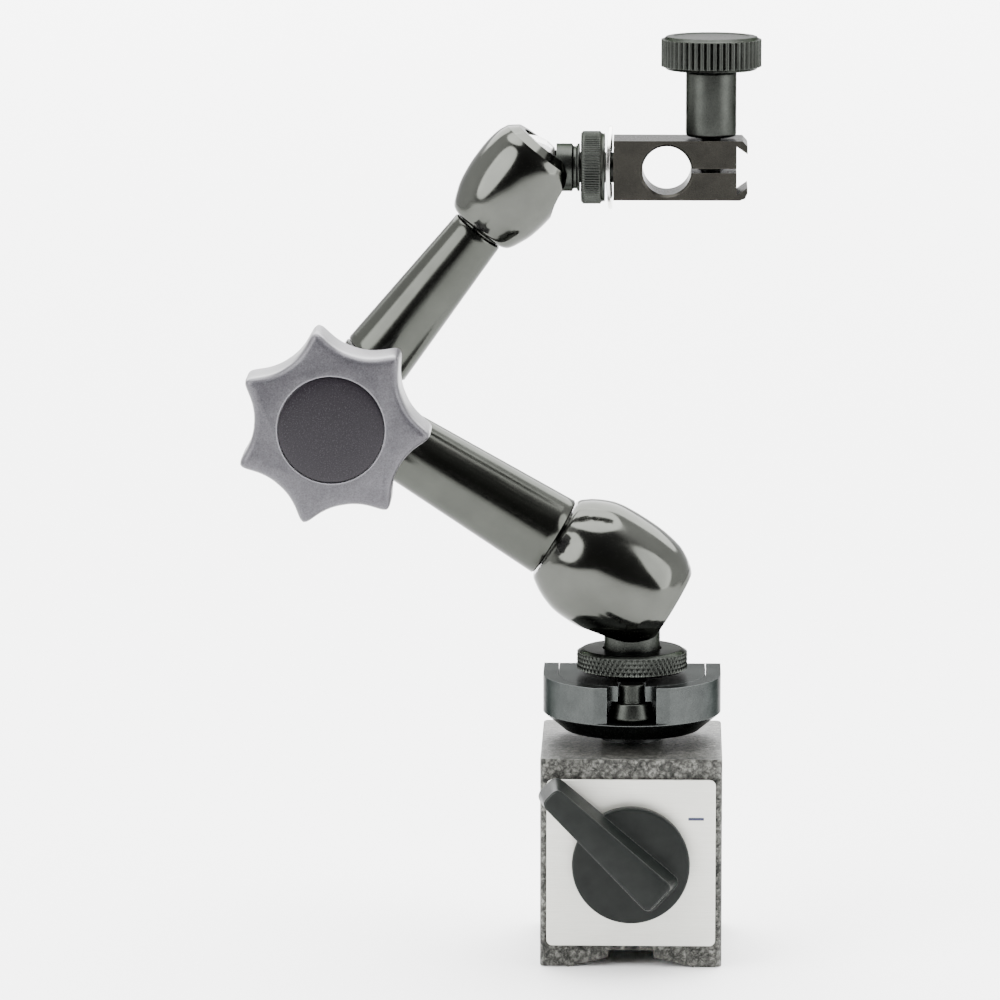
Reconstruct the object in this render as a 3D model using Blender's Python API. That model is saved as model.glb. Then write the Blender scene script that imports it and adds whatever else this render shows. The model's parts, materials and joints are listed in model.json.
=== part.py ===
"""Articulated indicator holder on a switchable magnetic base.

Sizes are millimetres until a mesh is stored, which scales them to metres.
The layout is drawn with its origin under the middle of the magnetic base, +Z up, +X to the
right and +Y away from the front plate.  The empty "layout" then shifts the whole holder so
that the file's origin is the centre of its bounding box, on the floor.

Three local frames are used.  A front frame has x right, y up and z towards the front.
A chain frame lies in the XZ plane with z along a tube or stud and y kept as +Y.
The layout frame itself is used for the base and the fine adjuster.
"""
import math

import bmesh
import bpy
from mathutils import Matrix, Vector

MM = 0.001
GAP = 0.3
OVER = 1.0
FAR = 20.0
ROUND = 32
SMALL_ROUND = 16
MEDIUM_ROUND = 24
HALF_ROUND = 32
SHARP_ANGLE = math.radians(28)
TINY = 1e-6

# Joint centres of the chain, as (x, z) in the plane of the arms
LOWER_BALL_CENTRE = (0.0, 61.2)
ELBOW_CENTRE = (-48.7, 91.0)
UPPER_BALL_CENTRE = (-17.3, 130.9)
STUD_ANGLE = 0.0

# Magnetic base
BASE_WIDTH = 30.0
BASE_DEPTH = 34.0
BASE_HEIGHT = 35.0
BASE_EDGE = 1.0
POLE_SPLIT = 1.3
SPACER_HALF = 1.0
FOOT_INNER = 10.3
VEE_INNER = 3.7
VEE_RISE = 1.6
CHANNEL_ROOF = 2.8
ROTOR_HEIGHT = 17.9
ROTOR_BORE_R = 11.0
ROTOR_R = 10.6
ROTOR_HALF = 14.0
SHAFT_R = 3.0
STOP_PIN_R = 0.9
STOP_PIN_CIRCLE = 8.2
STOP_PIN_ANGLE = 200.0
STOP_PIN_BACK = 11.6
STOP_PIN_FRONT = 16.6
STOP_GROOVE_BACK = 11.0
STOP_GROOVE_SPARE = 10.0
BEARING_FRONT = 16.7
REAR_POCKET = 16.0
SHAFT_BACK = 15.7
SHAFT_FRONT = 20.4
SWITCH_TRAVEL = 100.0
PLATE_WIDTH = 27.8
PLATE_LOW = 3.8
PLATE_HIGH = 31.7
PLATE_THICK = 0.6
PLATE_CORNER = 1.0
DIAL_R = 9.75
DIAL_BACK = 18.2
DIAL_FRONT = 20.9
LEVER_FRONT = 26.0
LEVER_ANGLE = 136.5
DIAL_CHAMFER = 0.5
LEVER_SINK = 0.4
LEVER_FOOT = [(-8.0, -4.1), (19.5, -2.5), (19.5, 2.5), (-8.0, 4.1)]
LEVER_CROWN = [(-6.6, -2.8), (17.8, -1.7), (17.8, 1.7), (-6.6, 2.8)]

# Fine adjuster on top of the base
BODY_R = 14.8
BODY_BACK = 9.5
BODY_LOW = 37.1
BODY_WALL_LOW = 40.0
BODY_TOP = 46.2
BODY_FOOT_R = 11.3
BOSS_R = 5.2
MOON_R = 12.3
MOON_FLOOR = 42.9
TRENCH_FLOOR = 40.5
TRENCH_FRONT = -3.9
TRENCH_HALF = 11.3
LEDGE_HEIGHT = 40.1
FRONT_FLAT = 13.4
PILLAR_Y = -10.0
PILLAR_POCKET_HALF = 4.1
PILLAR_POCKET_BACK = -5.7
PILLAR_SKIRT = [(3.4, 0.0), (3.75, 0.4), (3.2, 2.9)]
PILLAR_STEM_R = 2.0
PILLAR_TOP = 46.4
PIVOT_Y = 2.2
PIVOT_Z = 43.0
PIVOT_R = 1.0
PIVOT_HALF = 13.6
MOUNT_SCREW_R = 2.45
MOUNT_SCREW_DEPTH = 5.0
MOUNT_HEAD_R = 4.0
MOUNT_HEAD_LOW = 38.6
MOUNT_HEAD_HIGH = 40.2
MOUNT_SOCKET_R = 1.6
MOUNT_SOCKET_FLOOR = 39.0
TILT_PLATE_UNDER = 43.7
TILT_RIB_TOP = 44.5
TILT_NOTCH_HALF = 2.3
TILT_NOTCH_BACK = -7.7
POST_FOOT_R = 2.3
POST_FOOT_LOW = 44.8
POST_TIP = 4.8
POST_R = 4.65
WHEEL_LOW = 46.85
WHEEL_TOP = 50.6
WHEEL_R = 9.2
WHEEL_CHAMFER = 0.5

# Elbow, measured along the elbow's axis from the plane of the arms
LUG_R = 8.8
LUG_INNER = 1.7
LUG_OUTER = 6.6
COLLAR_START = 9.15
COLLAR_END = 9.65
SPIGOT_END = 17.0
LUG_BRIDGE_HALF = 4.4
LUG_BRIDGE_START = 2.0
LUG_BRIDGE_INSET = 0.2
BOLT_POCKET_R = 3.8
BOLT_POCKET_DEPTH = 3.6
BOLT_R = 2.4
BOLT_END = 20.5
BOLT_HEAD_R = 5.0
BOLT_HEAD_HIGH = 2.4
BOLT_HEAD_CHAMFER = 0.4
BOLT_SOCKET_R = 2.3
BOLT_SOCKET_DEPTH = 1.5
WASHER_R = 6.4
WASHER_THICK = 0.6
WEDGE_R = 4.3
WEDGE_TIP_R = 3.3
WEDGE_FRONT = 7.0
WEDGE_SHOULDER = 1.8
WEDGE_TIP = -2.2
ROD_TIP_R = 1.2
ROD_TIP_REACH = 4.5
KNOB_BACK = 14.8
KNOB_FRONT = 27.0
KNOB_BOSS_R = 6.4
KNOB_BOSS_BACK = 7.4
KNOB_TIP_R = 16.0
KNOB_NOTCH_R = 12.5
KNOB_LOBES = 7
KNOB_FIRST_TIP = 99.0
KNOB_TIP_HALF = 0.055
KNOB_TIP_ROUND = 0.35
KNOB_EDGE = 1.0
KNOB_HOLE_END = 22.0
INSERT_R = 4.5
INSERT_END = 21.5
CAP_POCKET = 0.8
CAP_BACK = 0.5
CAP_R = 8.6
CAP_PROUD = 0.1

# Clamp on the end of the upper stud, along the stud from the ball's centre
STUD_GROOVE = [(7.3, 0.0), (7.5, 0.4), (7.9, 0.4), (8.1, 0.0)]
STUD_SHOULDER = 8.5
STUD_CORE_R = 2.5
STUD_GROOVE_R = 1.5
STUD_GROOVE_LOW = 15.5
STUD_GROOVE_HIGH = 17.5
STUD_END = 18.0
STUD_TIP = 1.1
COLLAR_LOW = 8.65
COLLAR_HIGH = 12.6
COLLAR_BORE_R = 2.8
COLLAR_RIM = [(5.7, 0.0), (6.0, 0.3), (6.0, 3.25), (5.7, 3.55), (5.6, 3.95)]
WASHER_MIDDLE = 13.3
SPRING_BORE_R = 2.9
SPRING_R = 6.85
SPRING_HALF = 0.2
SPRING_WAVE = 0.22
BLOCK_START = 14.0
BLOCK_END = 36.0
BLOCK_HALF_HEIGHT = 4.9
BLOCK_HALF_DEPTH = 5.2
BLOCK_CORNER = 1.0
STUD_HOLE_R = 2.8
STUD_HOLE_END = 18.3
KEEPER_AT = 16.5
KEEPER_Y = 2.5
KEEPER_R = 0.7
KEEPER_HOLE_R = 1.0
CLAMP_BORE_AT = 22.75
CLAMP_BORE_R = 4.0
CLAMP_SCREW_AT = 30.0
CLAMP_SCREW_HOLE_R = 2.1
SAW_SLOT_HALF = 0.35
DOVETAIL_FLOOR = 34.2
DOVETAIL_INNER = 4.0
DOVETAIL_MOUTH = 2.75
DOVETAIL_EDGE = 0.4
SCREW_THREAD_R = 1.8
SCREW_THREAD_LOW = 127.0
SCREW_SHANK_LOW = 136.7
SCREW_SHANK_EDGE = 0.3
SCREW_HEAD_LOW = 147.1
SCREW_HEAD_CHAMFER = 0.6
SCREW_TOP = 152.6
SCREW_HEAD_R = 8.25
SCREW_SHANK_R = 4.17

# The two arms: the bell's outline is (distance from the ball's centre, radius)
LOWER_ARM = {
    "prefix": "lower",
    "ball_hole_end": 0.8,
    "ball_r": 7.2,
    "ball_flat": 6.0,
    "neck_r": POST_R,
    "tip_hole_r": 2.7,
    "bell": [(-14.95, 7.4), (-12.65, 9.0), (-9.45, 10.3), (-5.95, 10.5), (-0.95, 10.5),
             (3.05, 9.9), (6.65, 7.6), (7.35, 7.0)],
    "cavity_back": -9.9,
    "rear_bore_r": 5.2,
    "tube_bell_r": 6.95,
    "tube_elbow_r": 5.75,
    "tube_bore_r": 3.5,
    "rod_r": 1.9,
    "side": -1,
    "hub_bore_r": 4.6,
}
UPPER_ARM = {
    "prefix": "upper",
    "ball_hole_end": 0.8,
    "ball_r": 5.4,
    "ball_flat": 4.3,
    "neck_r": 3.95,
    "tip_hole_r": 2.2,
    "bell": [(-13.05, 5.0), (-12.35, 6.0), (-10.45, 6.8), (-8.35, 7.4), (-4.95, 8.0),
             (-1.15, 8.0), (1.55, 7.8), (3.35, 7.1), (4.0, 6.6), (4.55, 5.6)],
    "cavity_back": -8.0,
    "rear_bore_r": 3.9,
    "tube_bell_r": 4.5,
    "tube_elbow_r": 5.8,
    "tube_bore_r": 2.9,
    "rod_r": 1.6,
    "side": 1,
    "hub_bore_r": 2.7,
}

# Finish name: base colour, roughness, metallic
FINISHES = {
    "hammertone": ((0.16, 0.16, 0.15), 0.55, 0.2),
    "spacer_brass": ((0.55, 0.42, 0.2), 0.4, 1.0),
    "brushed_aluminium": ((0.68, 0.68, 0.65), 0.35, 1.0),
    "magnet": ((0.12, 0.12, 0.13), 0.5, 0.6),
    "steel": ((0.5, 0.5, 0.5), 0.3, 1.0),
    "black_plastic": ((0.025, 0.027, 0.026), 0.5, 0.0),
    "black_oxide": ((0.07, 0.075, 0.075), 0.38, 0.85),
    "black_nickel": ((0.1, 0.1, 0.095), 0.15, 1.0),
    "silver_paint": ((0.27, 0.26, 0.29), 0.4, 0.6),
    "graphite": ((0.035, 0.03, 0.04), 0.4, 0.3),
    "brass": ((0.6, 0.45, 0.2), 0.3, 1.0),
    "bronze": ((0.45, 0.3, 0.16), 0.4, 1.0),
}


# ---------------------------------------------------------------- mesh helpers

def circle_angles(count):
    return [2.0 * math.pi * k / count for k in range(count)]


def bridge(bm, first, second):
    """Faces between two rings; a ring of one vertex is a point on the axis."""
    count = max(len(first), len(second))
    for k in range(count):
        after = (k + 1) % count
        corners = [first[k % len(first)], first[after % len(first)],
                   second[after % len(second)], second[k % len(second)]]
        corners = list(dict.fromkeys(corners))
        if len(corners) > 2:
            bm.faces.new(corners)


def turned(profile, count=ROUND):
    """Solid of revolution about z from (radius, height) points.

    Points on the axis at both ends close the solid; with none, the profile is a closed
    loop and the solid is a ring.  A flat end gets one round face.
    """
    is_ring = profile[0][0] > TINY
    flat_first = not is_ring and abs(profile[0][1] - profile[1][1]) < TINY
    flat_last = not is_ring and abs(profile[-1][1] - profile[-2][1]) < TINY
    points = profile[flat_first:len(profile) - flat_last]
    bm = bmesh.new()
    rings = []
    for radius, height in points:
        if radius < TINY:
            rings.append([bm.verts.new((0.0, 0.0, height))])
        else:
            rings.append([bm.verts.new((radius * math.cos(a), radius * math.sin(a), height))
                          for a in circle_angles(count)])
    for first, second in zip(rings, rings[1:]):
        bridge(bm, first, second)
    if flat_first:
        bm.faces.new(rings[0])
    if flat_last:
        bm.faces.new(rings[-1])
    if is_ring:
        bridge(bm, rings[-1], rings[0])
    return bm


def pin(radius, low, high, count=SMALL_ROUND):
    return turned([(0.0, low), (radius, low), (radius, high), (0.0, high)], count)


def ring(inner, outer, low, high, count=ROUND):
    return turned([(inner, low), (outer, low), (outer, high), (inner, high)], count)


def chamfered_ring(inner, outer, low, high, chamfer, count=ROUND):
    return turned([(inner, low), (outer - chamfer, low), (outer, low + chamfer),
                   (outer, high - chamfer), (outer - chamfer, high), (inner, high)], count)


def extruded(outline, low, high):
    """Prism over an outline of (x, y) points, from z low to z high."""
    bm = bmesh.new()
    bottom = [bm.verts.new((x, y, low)) for x, y in outline]
    top = [bm.verts.new((x, y, high)) for x, y in outline]
    bridge(bm, bottom, top)
    bm.faces.new(bottom)
    bm.faces.new(top)
    return bm


def box(low, high):
    x0, y0, z0 = low
    x1, y1, z1 = high
    return extruded([(x0, y0), (x1, y0), (x1, y1), (x0, y1)], z0, z1)


def moved(bm, matrix):
    bmesh.ops.transform(bm, matrix=matrix, verts=bm.verts)
    return bm


def along_y(bm, place=(0.0, 0.0, 0.0)):
    """Turn a solid made about z so that its z runs along -y, at a place."""
    return moved(bm, Matrix.Translation(place) @ Matrix.Rotation(math.radians(90), 4, "X"))


def along_x(bm, place=(0.0, 0.0, 0.0)):
    """Turn a solid made about z so that its z runs along +x, at a place."""
    return moved(bm, Matrix.Translation(place) @ Matrix.Rotation(math.radians(90), 4, "Y"))


def arc(radius, start, end, steps):
    """Points (radius from the axis, height) on a circle round the origin; angles from the height axis."""
    angles = [start + (end - start) * k / steps for k in range(steps + 1)]
    return [(abs(radius * math.sin(a)), radius * math.cos(a)) for a in angles]


def bevel_upright_edges(bm, width, segments=3):
    """Round the edges along z that stand on the four outer corners."""
    xs = [v.co.x for v in bm.verts]
    ys = [v.co.y for v in bm.verts]
    outer = []
    for edge in bm.edges:
        a, b = (v.co for v in edge.verts)
        upright = (a - b).xy.length < TINY
        at_corner = min(a.x - min(xs), max(xs) - a.x) < TINY and min(a.y - min(ys), max(ys) - a.y) < TINY
        if upright and at_corner:
            outer.append(edge)
    bmesh.ops.bevel(bm, geom=outer, offset=width, segments=segments, profile=0.5, affect="EDGES")
    return bm


# ---------------------------------------------------------------- scene helpers

def finish_material(name, finish):
    colour, roughness, metallic = FINISHES[finish]
    material = bpy.data.materials.new(name)
    material.use_nodes = True
    shader = material.node_tree.nodes["Principled BSDF"]
    shader.inputs["Base Color"].default_value = (*colour, 1.0)
    shader.inputs["Roughness"].default_value = roughness
    shader.inputs["Metallic"].default_value = metallic
    return material


def new_object(name, bm, frame):
    bmesh.ops.recalc_face_normals(bm, faces=bm.faces)
    bmesh.ops.scale(bm, vec=(MM, MM, MM), verts=bm.verts)
    mesh = bpy.data.meshes.new(name)
    bm.to_mesh(mesh)
    bm.free()
    mesh.shade_smooth()
    mesh.set_sharp_from_angle(angle=SHARP_ANGLE)
    piece = bpy.data.objects.new(name, mesh)
    bpy.context.collection.objects.link(piece)
    piece.parent = frame
    return piece


def add_piece(name, bm, finish, frame):
    piece = new_object(name, bm, frame)
    piece.data.materials.append(finish_material(name + "_finish", finish))
    return piece


def add_tool(piece, bm, operation):
    """A hidden solid that is cut out of the piece, or merged into it."""
    number = len(piece.modifiers) + 1
    tool = new_object(f"{piece.name}_tool_{number}", bm, piece.parent)
    tool.hide_render = True
    tool.display_type = "WIRE"
    modifier = piece.modifiers.new(f"tool_{number}", "BOOLEAN")
    modifier.operation = operation
    modifier.solver = "EXACT"
    modifier.object = tool


def cut(piece, *solids):
    for bm in solids:
        add_tool(piece, bm, "DIFFERENCE")


def merge(piece, *solids):
    for bm in solids:
        add_tool(piece, bm, "UNION")


def add_frame(name, parent, place=(0.0, 0.0, 0.0), turn=None):
    empty = bpy.data.objects.new(name, None)
    empty.empty_display_size = 0.01
    bpy.context.collection.objects.link(empty)
    empty.parent = parent
    empty.matrix_basis = Matrix.Translation(Vector(place) * MM) @ (turn or Matrix())
    return empty


def front_turn():
    return Matrix.Rotation(math.radians(90), 4, "X")


def chain_turn(angle):
    """z of the frame points at the angle in the XZ plane, counted from +X towards +Z."""
    return Matrix.Rotation(math.radians(90.0 - angle), 4, "Y")


def chain_angle(start, end):
    return math.degrees(math.atan2(end[1] - start[1], end[0] - start[0]))


def in_plane(point):
    return (point[0], 0.0, point[1])


# ---------------------------------------------------------------- magnetic base

def pole_outline(side):
    """Section of one iron half, seen from the front; side is -1 for left, 1 for right."""
    half = BASE_WIDTH / 2.0
    points = [(half, 0.0), (half, BASE_HEIGHT), (POLE_SPLIT, BASE_HEIGHT), (POLE_SPLIT, CHANNEL_ROOF),
              (VEE_INNER, CHANNEL_ROOF), (VEE_INNER, VEE_RISE), (FOOT_INNER, 0.0)]
    return [(side * x, z) for x, z in points]


def mounting_hole():
    return pin(MOUNT_SCREW_R + GAP, BASE_HEIGHT - MOUNT_SCREW_DEPTH - GAP, BASE_HEIGHT + OVER)


def rotor_bore():
    return along_y(pin(ROTOR_BORE_R, -BASE_DEPTH, BASE_DEPTH, ROUND), (0.0, 0.0, ROTOR_HEIGHT))


def make_pole(name, side, frame):
    half_depth = BASE_DEPTH / 2.0
    bm = along_y(extruded(pole_outline(side), -half_depth, half_depth))
    bevel_upright_edges(bm, BASE_EDGE)
    pole = add_piece(name, bm, "hammertone", frame)
    cut(pole, rotor_bore(), mounting_hole())


def make_spacers(frame):
    half_depth = BASE_DEPTH / 2.0
    clear = 0.1
    low = ROTOR_HEIGHT + ROTOR_BORE_R + clear
    top = add_piece("base_spacer_top",
                    box((-SPACER_HALF, -half_depth, low), (SPACER_HALF, half_depth, BASE_HEIGHT)),
                    "spacer_brass", frame)
    cut(top, mounting_hole())
    high = ROTOR_HEIGHT - ROTOR_BORE_R - clear
    add_piece("base_spacer_bottom",
              box((-SPACER_HALF, -half_depth, CHANNEL_ROOF), (SPACER_HALF, half_depth, high)),
              "spacer_brass", frame)


def make_label_plate(front):
    """Thin plate over the rotor's bore; the front frame's origin is on the rotor's axis."""
    half = PLATE_WIDTH / 2.0
    back = BASE_DEPTH / 2.0 + GAP
    bm = box((-half, PLATE_LOW - ROTOR_HEIGHT, back), (half, PLATE_HIGH - ROTOR_HEIGHT, back + PLATE_THICK))
    bevel_upright_edges(bm, PLATE_CORNER)
    plate = add_piece("label_plate", bm, "brushed_aluminium", front)
    cut(plate, pin(SHAFT_R + GAP, back - OVER, back + PLATE_THICK + OVER))


def stop_pin_place():
    angle = math.radians(STOP_PIN_ANGLE)
    return Vector((STOP_PIN_CIRCLE * math.cos(angle), STOP_PIN_CIRCLE * math.sin(angle), 0.0))


def make_bearings(front):
    disc_r = ROTOR_BORE_R - GAP
    hole_r = SHAFT_R + GAP
    inner = ROTOR_HALF + GAP
    back = BASE_DEPTH / 2.0
    front_disc = add_piece("front_bearing_disc", ring(hole_r, disc_r, inner, BEARING_FRONT), "brass", front)
    pin_hole = pin(STOP_PIN_R + GAP, STOP_PIN_BACK, FAR)
    cut(front_disc, moved(pin_hole, Matrix.Translation(stop_pin_place())))
    rear_profile = [(0.0, -back), (disc_r, -back), (disc_r, -inner), (hole_r, -inner),
                    (hole_r, -REAR_POCKET), (0.0, -REAR_POCKET)]
    add_piece("rear_bearing_disc", turned(rear_profile), "brushed_aluminium", front)
    stop = pin(STOP_PIN_R, STOP_PIN_BACK, STOP_PIN_FRONT)
    add_piece("rotation_stop_pin", moved(stop, Matrix.Translation(stop_pin_place())), "steel", front)


def arc_groove(inner, outer, first, last, low, high, steps=12):
    """Part of a ring between two angles in degrees."""
    angles = [math.radians(first + (last - first) * k / steps) for k in range(steps + 1)]
    outline = [(outer * math.cos(a), outer * math.sin(a)) for a in angles]
    outline += [(inner * math.cos(a), inner * math.sin(a)) for a in reversed(angles)]
    return extruded(outline, low, high)


def make_switch(front):
    rotor = add_piece("magnet_rotor", ring(SHAFT_R + GAP, ROTOR_R, -ROTOR_HALF, ROTOR_HALF), "magnet", front)
    groove_half = STOP_PIN_R + GAP + 0.1
    first = STOP_PIN_ANGLE - STOP_GROOVE_SPARE
    last = STOP_PIN_ANGLE + SWITCH_TRAVEL + STOP_GROOVE_SPARE
    cut(rotor, arc_groove(STOP_PIN_CIRCLE - groove_half, STOP_PIN_CIRCLE + groove_half, first, last,
                          STOP_GROOVE_BACK, FAR))
    add_piece("switch_shaft", pin(SHAFT_R, -SHAFT_BACK, SHAFT_FRONT, ROUND), "steel", front)

    dial = turned([(0.0, DIAL_BACK), (DIAL_R, DIAL_BACK), (DIAL_R, DIAL_FRONT - DIAL_CHAMFER),
                   (DIAL_R - DIAL_CHAMFER, DIAL_FRONT), (0.0, DIAL_FRONT)])
    lever = add_piece("switch_lever", dial, "black_plastic", front)
    merge(lever, moved(lever_handle(), Matrix.Rotation(math.radians(LEVER_ANGLE), 4, "Z")))
    cut(lever, pin(SHAFT_R + GAP, DIAL_BACK - OVER, SHAFT_FRONT + GAP))


def lever_handle():
    """Tapering bar along +x with sloped sides, standing on the dial."""
    bm = bmesh.new()
    lower = [bm.verts.new((x, y, DIAL_FRONT - LEVER_SINK)) for x, y in LEVER_FOOT]
    upper = [bm.verts.new((x, y, LEVER_FRONT)) for x, y in LEVER_CROWN]
    bridge(bm, lower, upper)
    bm.faces.new(lower)
    bm.faces.new(upper)
    return bm


# ---------------------------------------------------------------- fine adjuster

def half_round(radius, back):
    """Outline with a round front of the radius and straight sides to the back, from above."""
    angles = [math.pi + math.pi * k / HALF_ROUND for k in range(HALF_ROUND + 1)]
    front = [(radius * math.cos(a), radius * math.sin(a)) for a in angles]
    return front + [(radius, back), (-radius, back)]


def stacked(outlines):
    """Solid through outlines with the same number of points, each given with its height."""
    bm = bmesh.new()
    rings = [[bm.verts.new((x, y, z)) for x, y in outline] for outline, z in outlines]
    for first, second in zip(rings, rings[1:]):
        bridge(bm, first, second)
    bm.faces.new(rings[0])
    bm.faces.new(rings[-1])
    return bm


def make_adjuster_body(frame):
    """Half-round block with a sloped lower edge, standing on a round boss."""
    walls = half_round(BODY_R, BODY_BACK)
    foot = half_round(BODY_FOOT_R, BODY_BACK)
    bm = stacked([(foot, BODY_LOW), (walls, BODY_WALL_LOW), (walls, BODY_TOP)])
    body = add_piece("adjuster_body", bm, "black_oxide", frame)
    merge(body, pin(BOSS_R, BASE_HEIGHT + GAP, BODY_LOW + OVER, ROUND))
    above = BODY_TOP + OVER
    pivot_hole = PIVOT_HALF + GAP
    cut(body,
        extruded(half_round(MOON_R, FAR), MOON_FLOOR, above),
        box((-TRENCH_HALF, TRENCH_FRONT, TRENCH_FLOOR), (TRENCH_HALF, FAR, above)),
        box((-FAR, -FAR, LEDGE_HEIGHT), (FAR, -FRONT_FLAT, above)),
        box((-PILLAR_POCKET_HALF, -FAR, LEDGE_HEIGHT), (PILLAR_POCKET_HALF, PILLAR_POCKET_BACK, above)),
        along_x(pin(PIVOT_R + GAP, -pivot_hole, pivot_hole), (0.0, PIVOT_Y, PIVOT_Z)),
        pin(MOUNT_SCREW_R + GAP, BASE_HEIGHT - OVER, above),
        pin(MOUNT_HEAD_R + GAP, MOUNT_HEAD_LOW - GAP, above))


def make_adjuster_fittings(frame):
    foot = BASE_HEIGHT - MOUNT_SCREW_DEPTH
    screw = [(0.0, foot), (MOUNT_SCREW_R, foot), (MOUNT_SCREW_R, MOUNT_HEAD_LOW), (MOUNT_HEAD_R, MOUNT_HEAD_LOW),
             (MOUNT_HEAD_R, MOUNT_HEAD_HIGH), (0.0, MOUNT_HEAD_HIGH)]
    mount_screw = add_piece("adjuster_mounting_screw", turned(screw, MEDIUM_ROUND), "steel", frame)
    cut(mount_screw, extruded(hexagon(MOUNT_SOCKET_R), MOUNT_SOCKET_FLOOR, MOUNT_HEAD_HIGH + OVER))
    pivot = along_x(pin(PIVOT_R, -PIVOT_HALF, PIVOT_HALF), (0.0, PIVOT_Y, PIVOT_Z))
    add_piece("tilt_pivot_pin", pivot, "steel", frame)
    skirt = [(radius, LEDGE_HEIGHT + GAP + height) for radius, height in PILLAR_SKIRT]
    pillar = [(0.0, skirt[0][1])] + skirt
    pillar += [(PILLAR_STEM_R, skirt[-1][1]), (PILLAR_STEM_R, PILLAR_TOP), (0.0, PILLAR_TOP)]
    standing = Matrix.Translation((0.0, PILLAR_Y, 0.0))
    add_piece("adjuster_pillar", moved(turned(pillar, MEDIUM_ROUND), standing), "black_oxide", frame)


def hexagon(radius):
    return [(radius * math.cos(a), radius * math.sin(a)) for a in circle_angles(6)]


def make_tilt_plate(frame):
    """Layout heights; the frame's origin is on the pivot pin."""
    to_pivot = Matrix.Translation((0.0, -PIVOT_Y, -PIVOT_Z))
    above = BODY_TOP + OVER
    back = BODY_BACK - 0.1
    moon = extruded(half_round(MOON_R - GAP, back), TILT_PLATE_UNDER, BODY_TOP)
    plate = add_piece("tilt_plate", moved(moon, to_pivot), "black_oxide", frame)
    clear = GAP + 0.1
    rib_half = TRENCH_HALF - GAP
    rib = box((-rib_half, TRENCH_FRONT + clear, TRENCH_FLOOR + clear), (rib_half, back - clear, TILT_RIB_TOP))
    merge(plate, moved(rib, to_pivot))
    cut(plate,
        moved(box((-TILT_NOTCH_HALF, -FAR, 0.0), (TILT_NOTCH_HALF, TILT_NOTCH_BACK, above)), to_pivot),
        along_x(pin(PIVOT_R + GAP, -FAR, FAR)),
        moved(pin(POST_FOOT_R + GAP, POST_FOOT_LOW - GAP, above), to_pivot))
    shoulder = LOWER_BALL_CENTRE[1] - LOWER_ARM["ball_flat"] - GAP
    tip_r = LOWER_ARM["tip_hole_r"] - GAP
    profile = [(0.0, POST_FOOT_LOW), (POST_FOOT_R, POST_FOOT_LOW), (POST_FOOT_R, BODY_TOP + GAP),
               (POST_R, BODY_TOP + GAP), (POST_R, shoulder), (tip_r, shoulder), (tip_r, shoulder + POST_TIP),
               (0.0, shoulder + POST_TIP)]
    add_piece("lower_post", moved(turned(profile), to_pivot), "black_oxide", frame)


def make_wheel(frame):
    wheel = chamfered_ring(POST_R + GAP, WHEEL_R, WHEEL_LOW, WHEEL_TOP, WHEEL_CHAMFER)
    add_piece("adjuster_wheel", wheel, "black_oxide", frame)


# ---------------------------------------------------------------- arms

def make_ball(arm, frame):
    """Ball with its stud's hole on the +z side."""
    radius = arm["ball_r"]
    flat = arm["ball_flat"]
    hole_r = arm["tip_hole_r"]
    sphere = arc(radius, math.pi, math.acos(flat / radius), 8)
    hole_end = arm["ball_hole_end"]
    profile = sphere + [(hole_r, flat), (hole_r, hole_end), (0.0, hole_end)]
    add_piece(arm["prefix"] + "_ball", turned(profile, MEDIUM_ROUND), "steel", frame)


def slot_tool(half, reach):
    """Swept space of a round neck that swings from +z to +x about the ball's centre."""
    bm = bmesh.new()
    steps = 12
    for k in range(steps + 1):
        angle = math.pi * (k / steps - 0.5)
        y = half * math.sin(angle)
        side = half * math.cos(angle)
        for x in (-side, reach):
            for z in (-side, reach):
                bm.verts.new((x, y, z))
    hull = bmesh.ops.convex_hull(bm, input=bm.verts)
    bmesh.ops.delete(bm, geom=hull["geom_interior"], context="VERTS")
    return bm


def slot_half_width(arm):
    return arm["neck_r"] + GAP + 0.05


def make_bell(arm, frame):
    """Barrel over the ball, with its mouth at +z and its slot towards +x."""
    slot_half = slot_half_width(arm)
    cavity_r = arm["ball_r"] + GAP
    back, _ = arm["bell"][0]
    mouth, _ = arm["bell"][-1]
    outer = [(radius, z) for z, radius in arm["bell"]]
    lip = math.asin(slot_half / cavity_r)
    inner = [(slot_half, mouth)] + arc(cavity_r, lip, math.pi / 2.0, 4)
    inner += [(cavity_r, arm["cavity_back"]), (arm["rear_bore_r"], arm["cavity_back"]), (arm["rear_bore_r"], back)]
    bell = add_piece(arm["prefix"] + "_bell", turned(outer + inner), "black_nickel", frame)
    cut(bell, slot_tool(slot_half, FAR))


def make_seat_and_rod(arm, frame, length):
    cavity_r = arm["ball_r"] + GAP
    seat_r = arm["ball_r"]
    back = arm["cavity_back"] + GAP
    rim = -slot_half_width(arm) - 0.1
    rim_angle = math.acos(rim / cavity_r)
    profile = [(0.0, back), (seat_r, back), (seat_r, rim)] + arc(cavity_r, rim_angle, math.pi, 4)
    add_piece(arm["prefix"] + "_ball_seat", turned(profile, MEDIUM_ROUND), "bronze", frame)

    rod_r = arm["rod_r"]
    shoulder = SPIGOT_END + OVER - length
    tip = ROD_TIP_REACH - length
    rod = [(0.0, tip), (ROD_TIP_R, tip), (ROD_TIP_R, shoulder), (rod_r, shoulder), (rod_r, back - GAP),
           (0.0, back - GAP)]
    add_piece(arm["prefix"] + "_push_rod", turned(rod, SMALL_ROUND), "steel", frame)


def make_tube(arm, frame, length):
    back, _ = arm["bell"][0]
    start = back - GAP
    end = COLLAR_END + GAP - length
    spigot_r = arm["rear_bore_r"] - GAP
    bore = arm["tube_bore_r"]
    spigot_top = arm["cavity_back"] - 2.0 * GAP
    profile = [(bore, end), (arm["tube_elbow_r"], end), (arm["tube_bell_r"], start), (spigot_r, start),
               (spigot_r, spigot_top), (bore, spigot_top)]
    add_piece(arm["prefix"] + "_tube", turned(profile), "black_oxide", frame)


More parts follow.
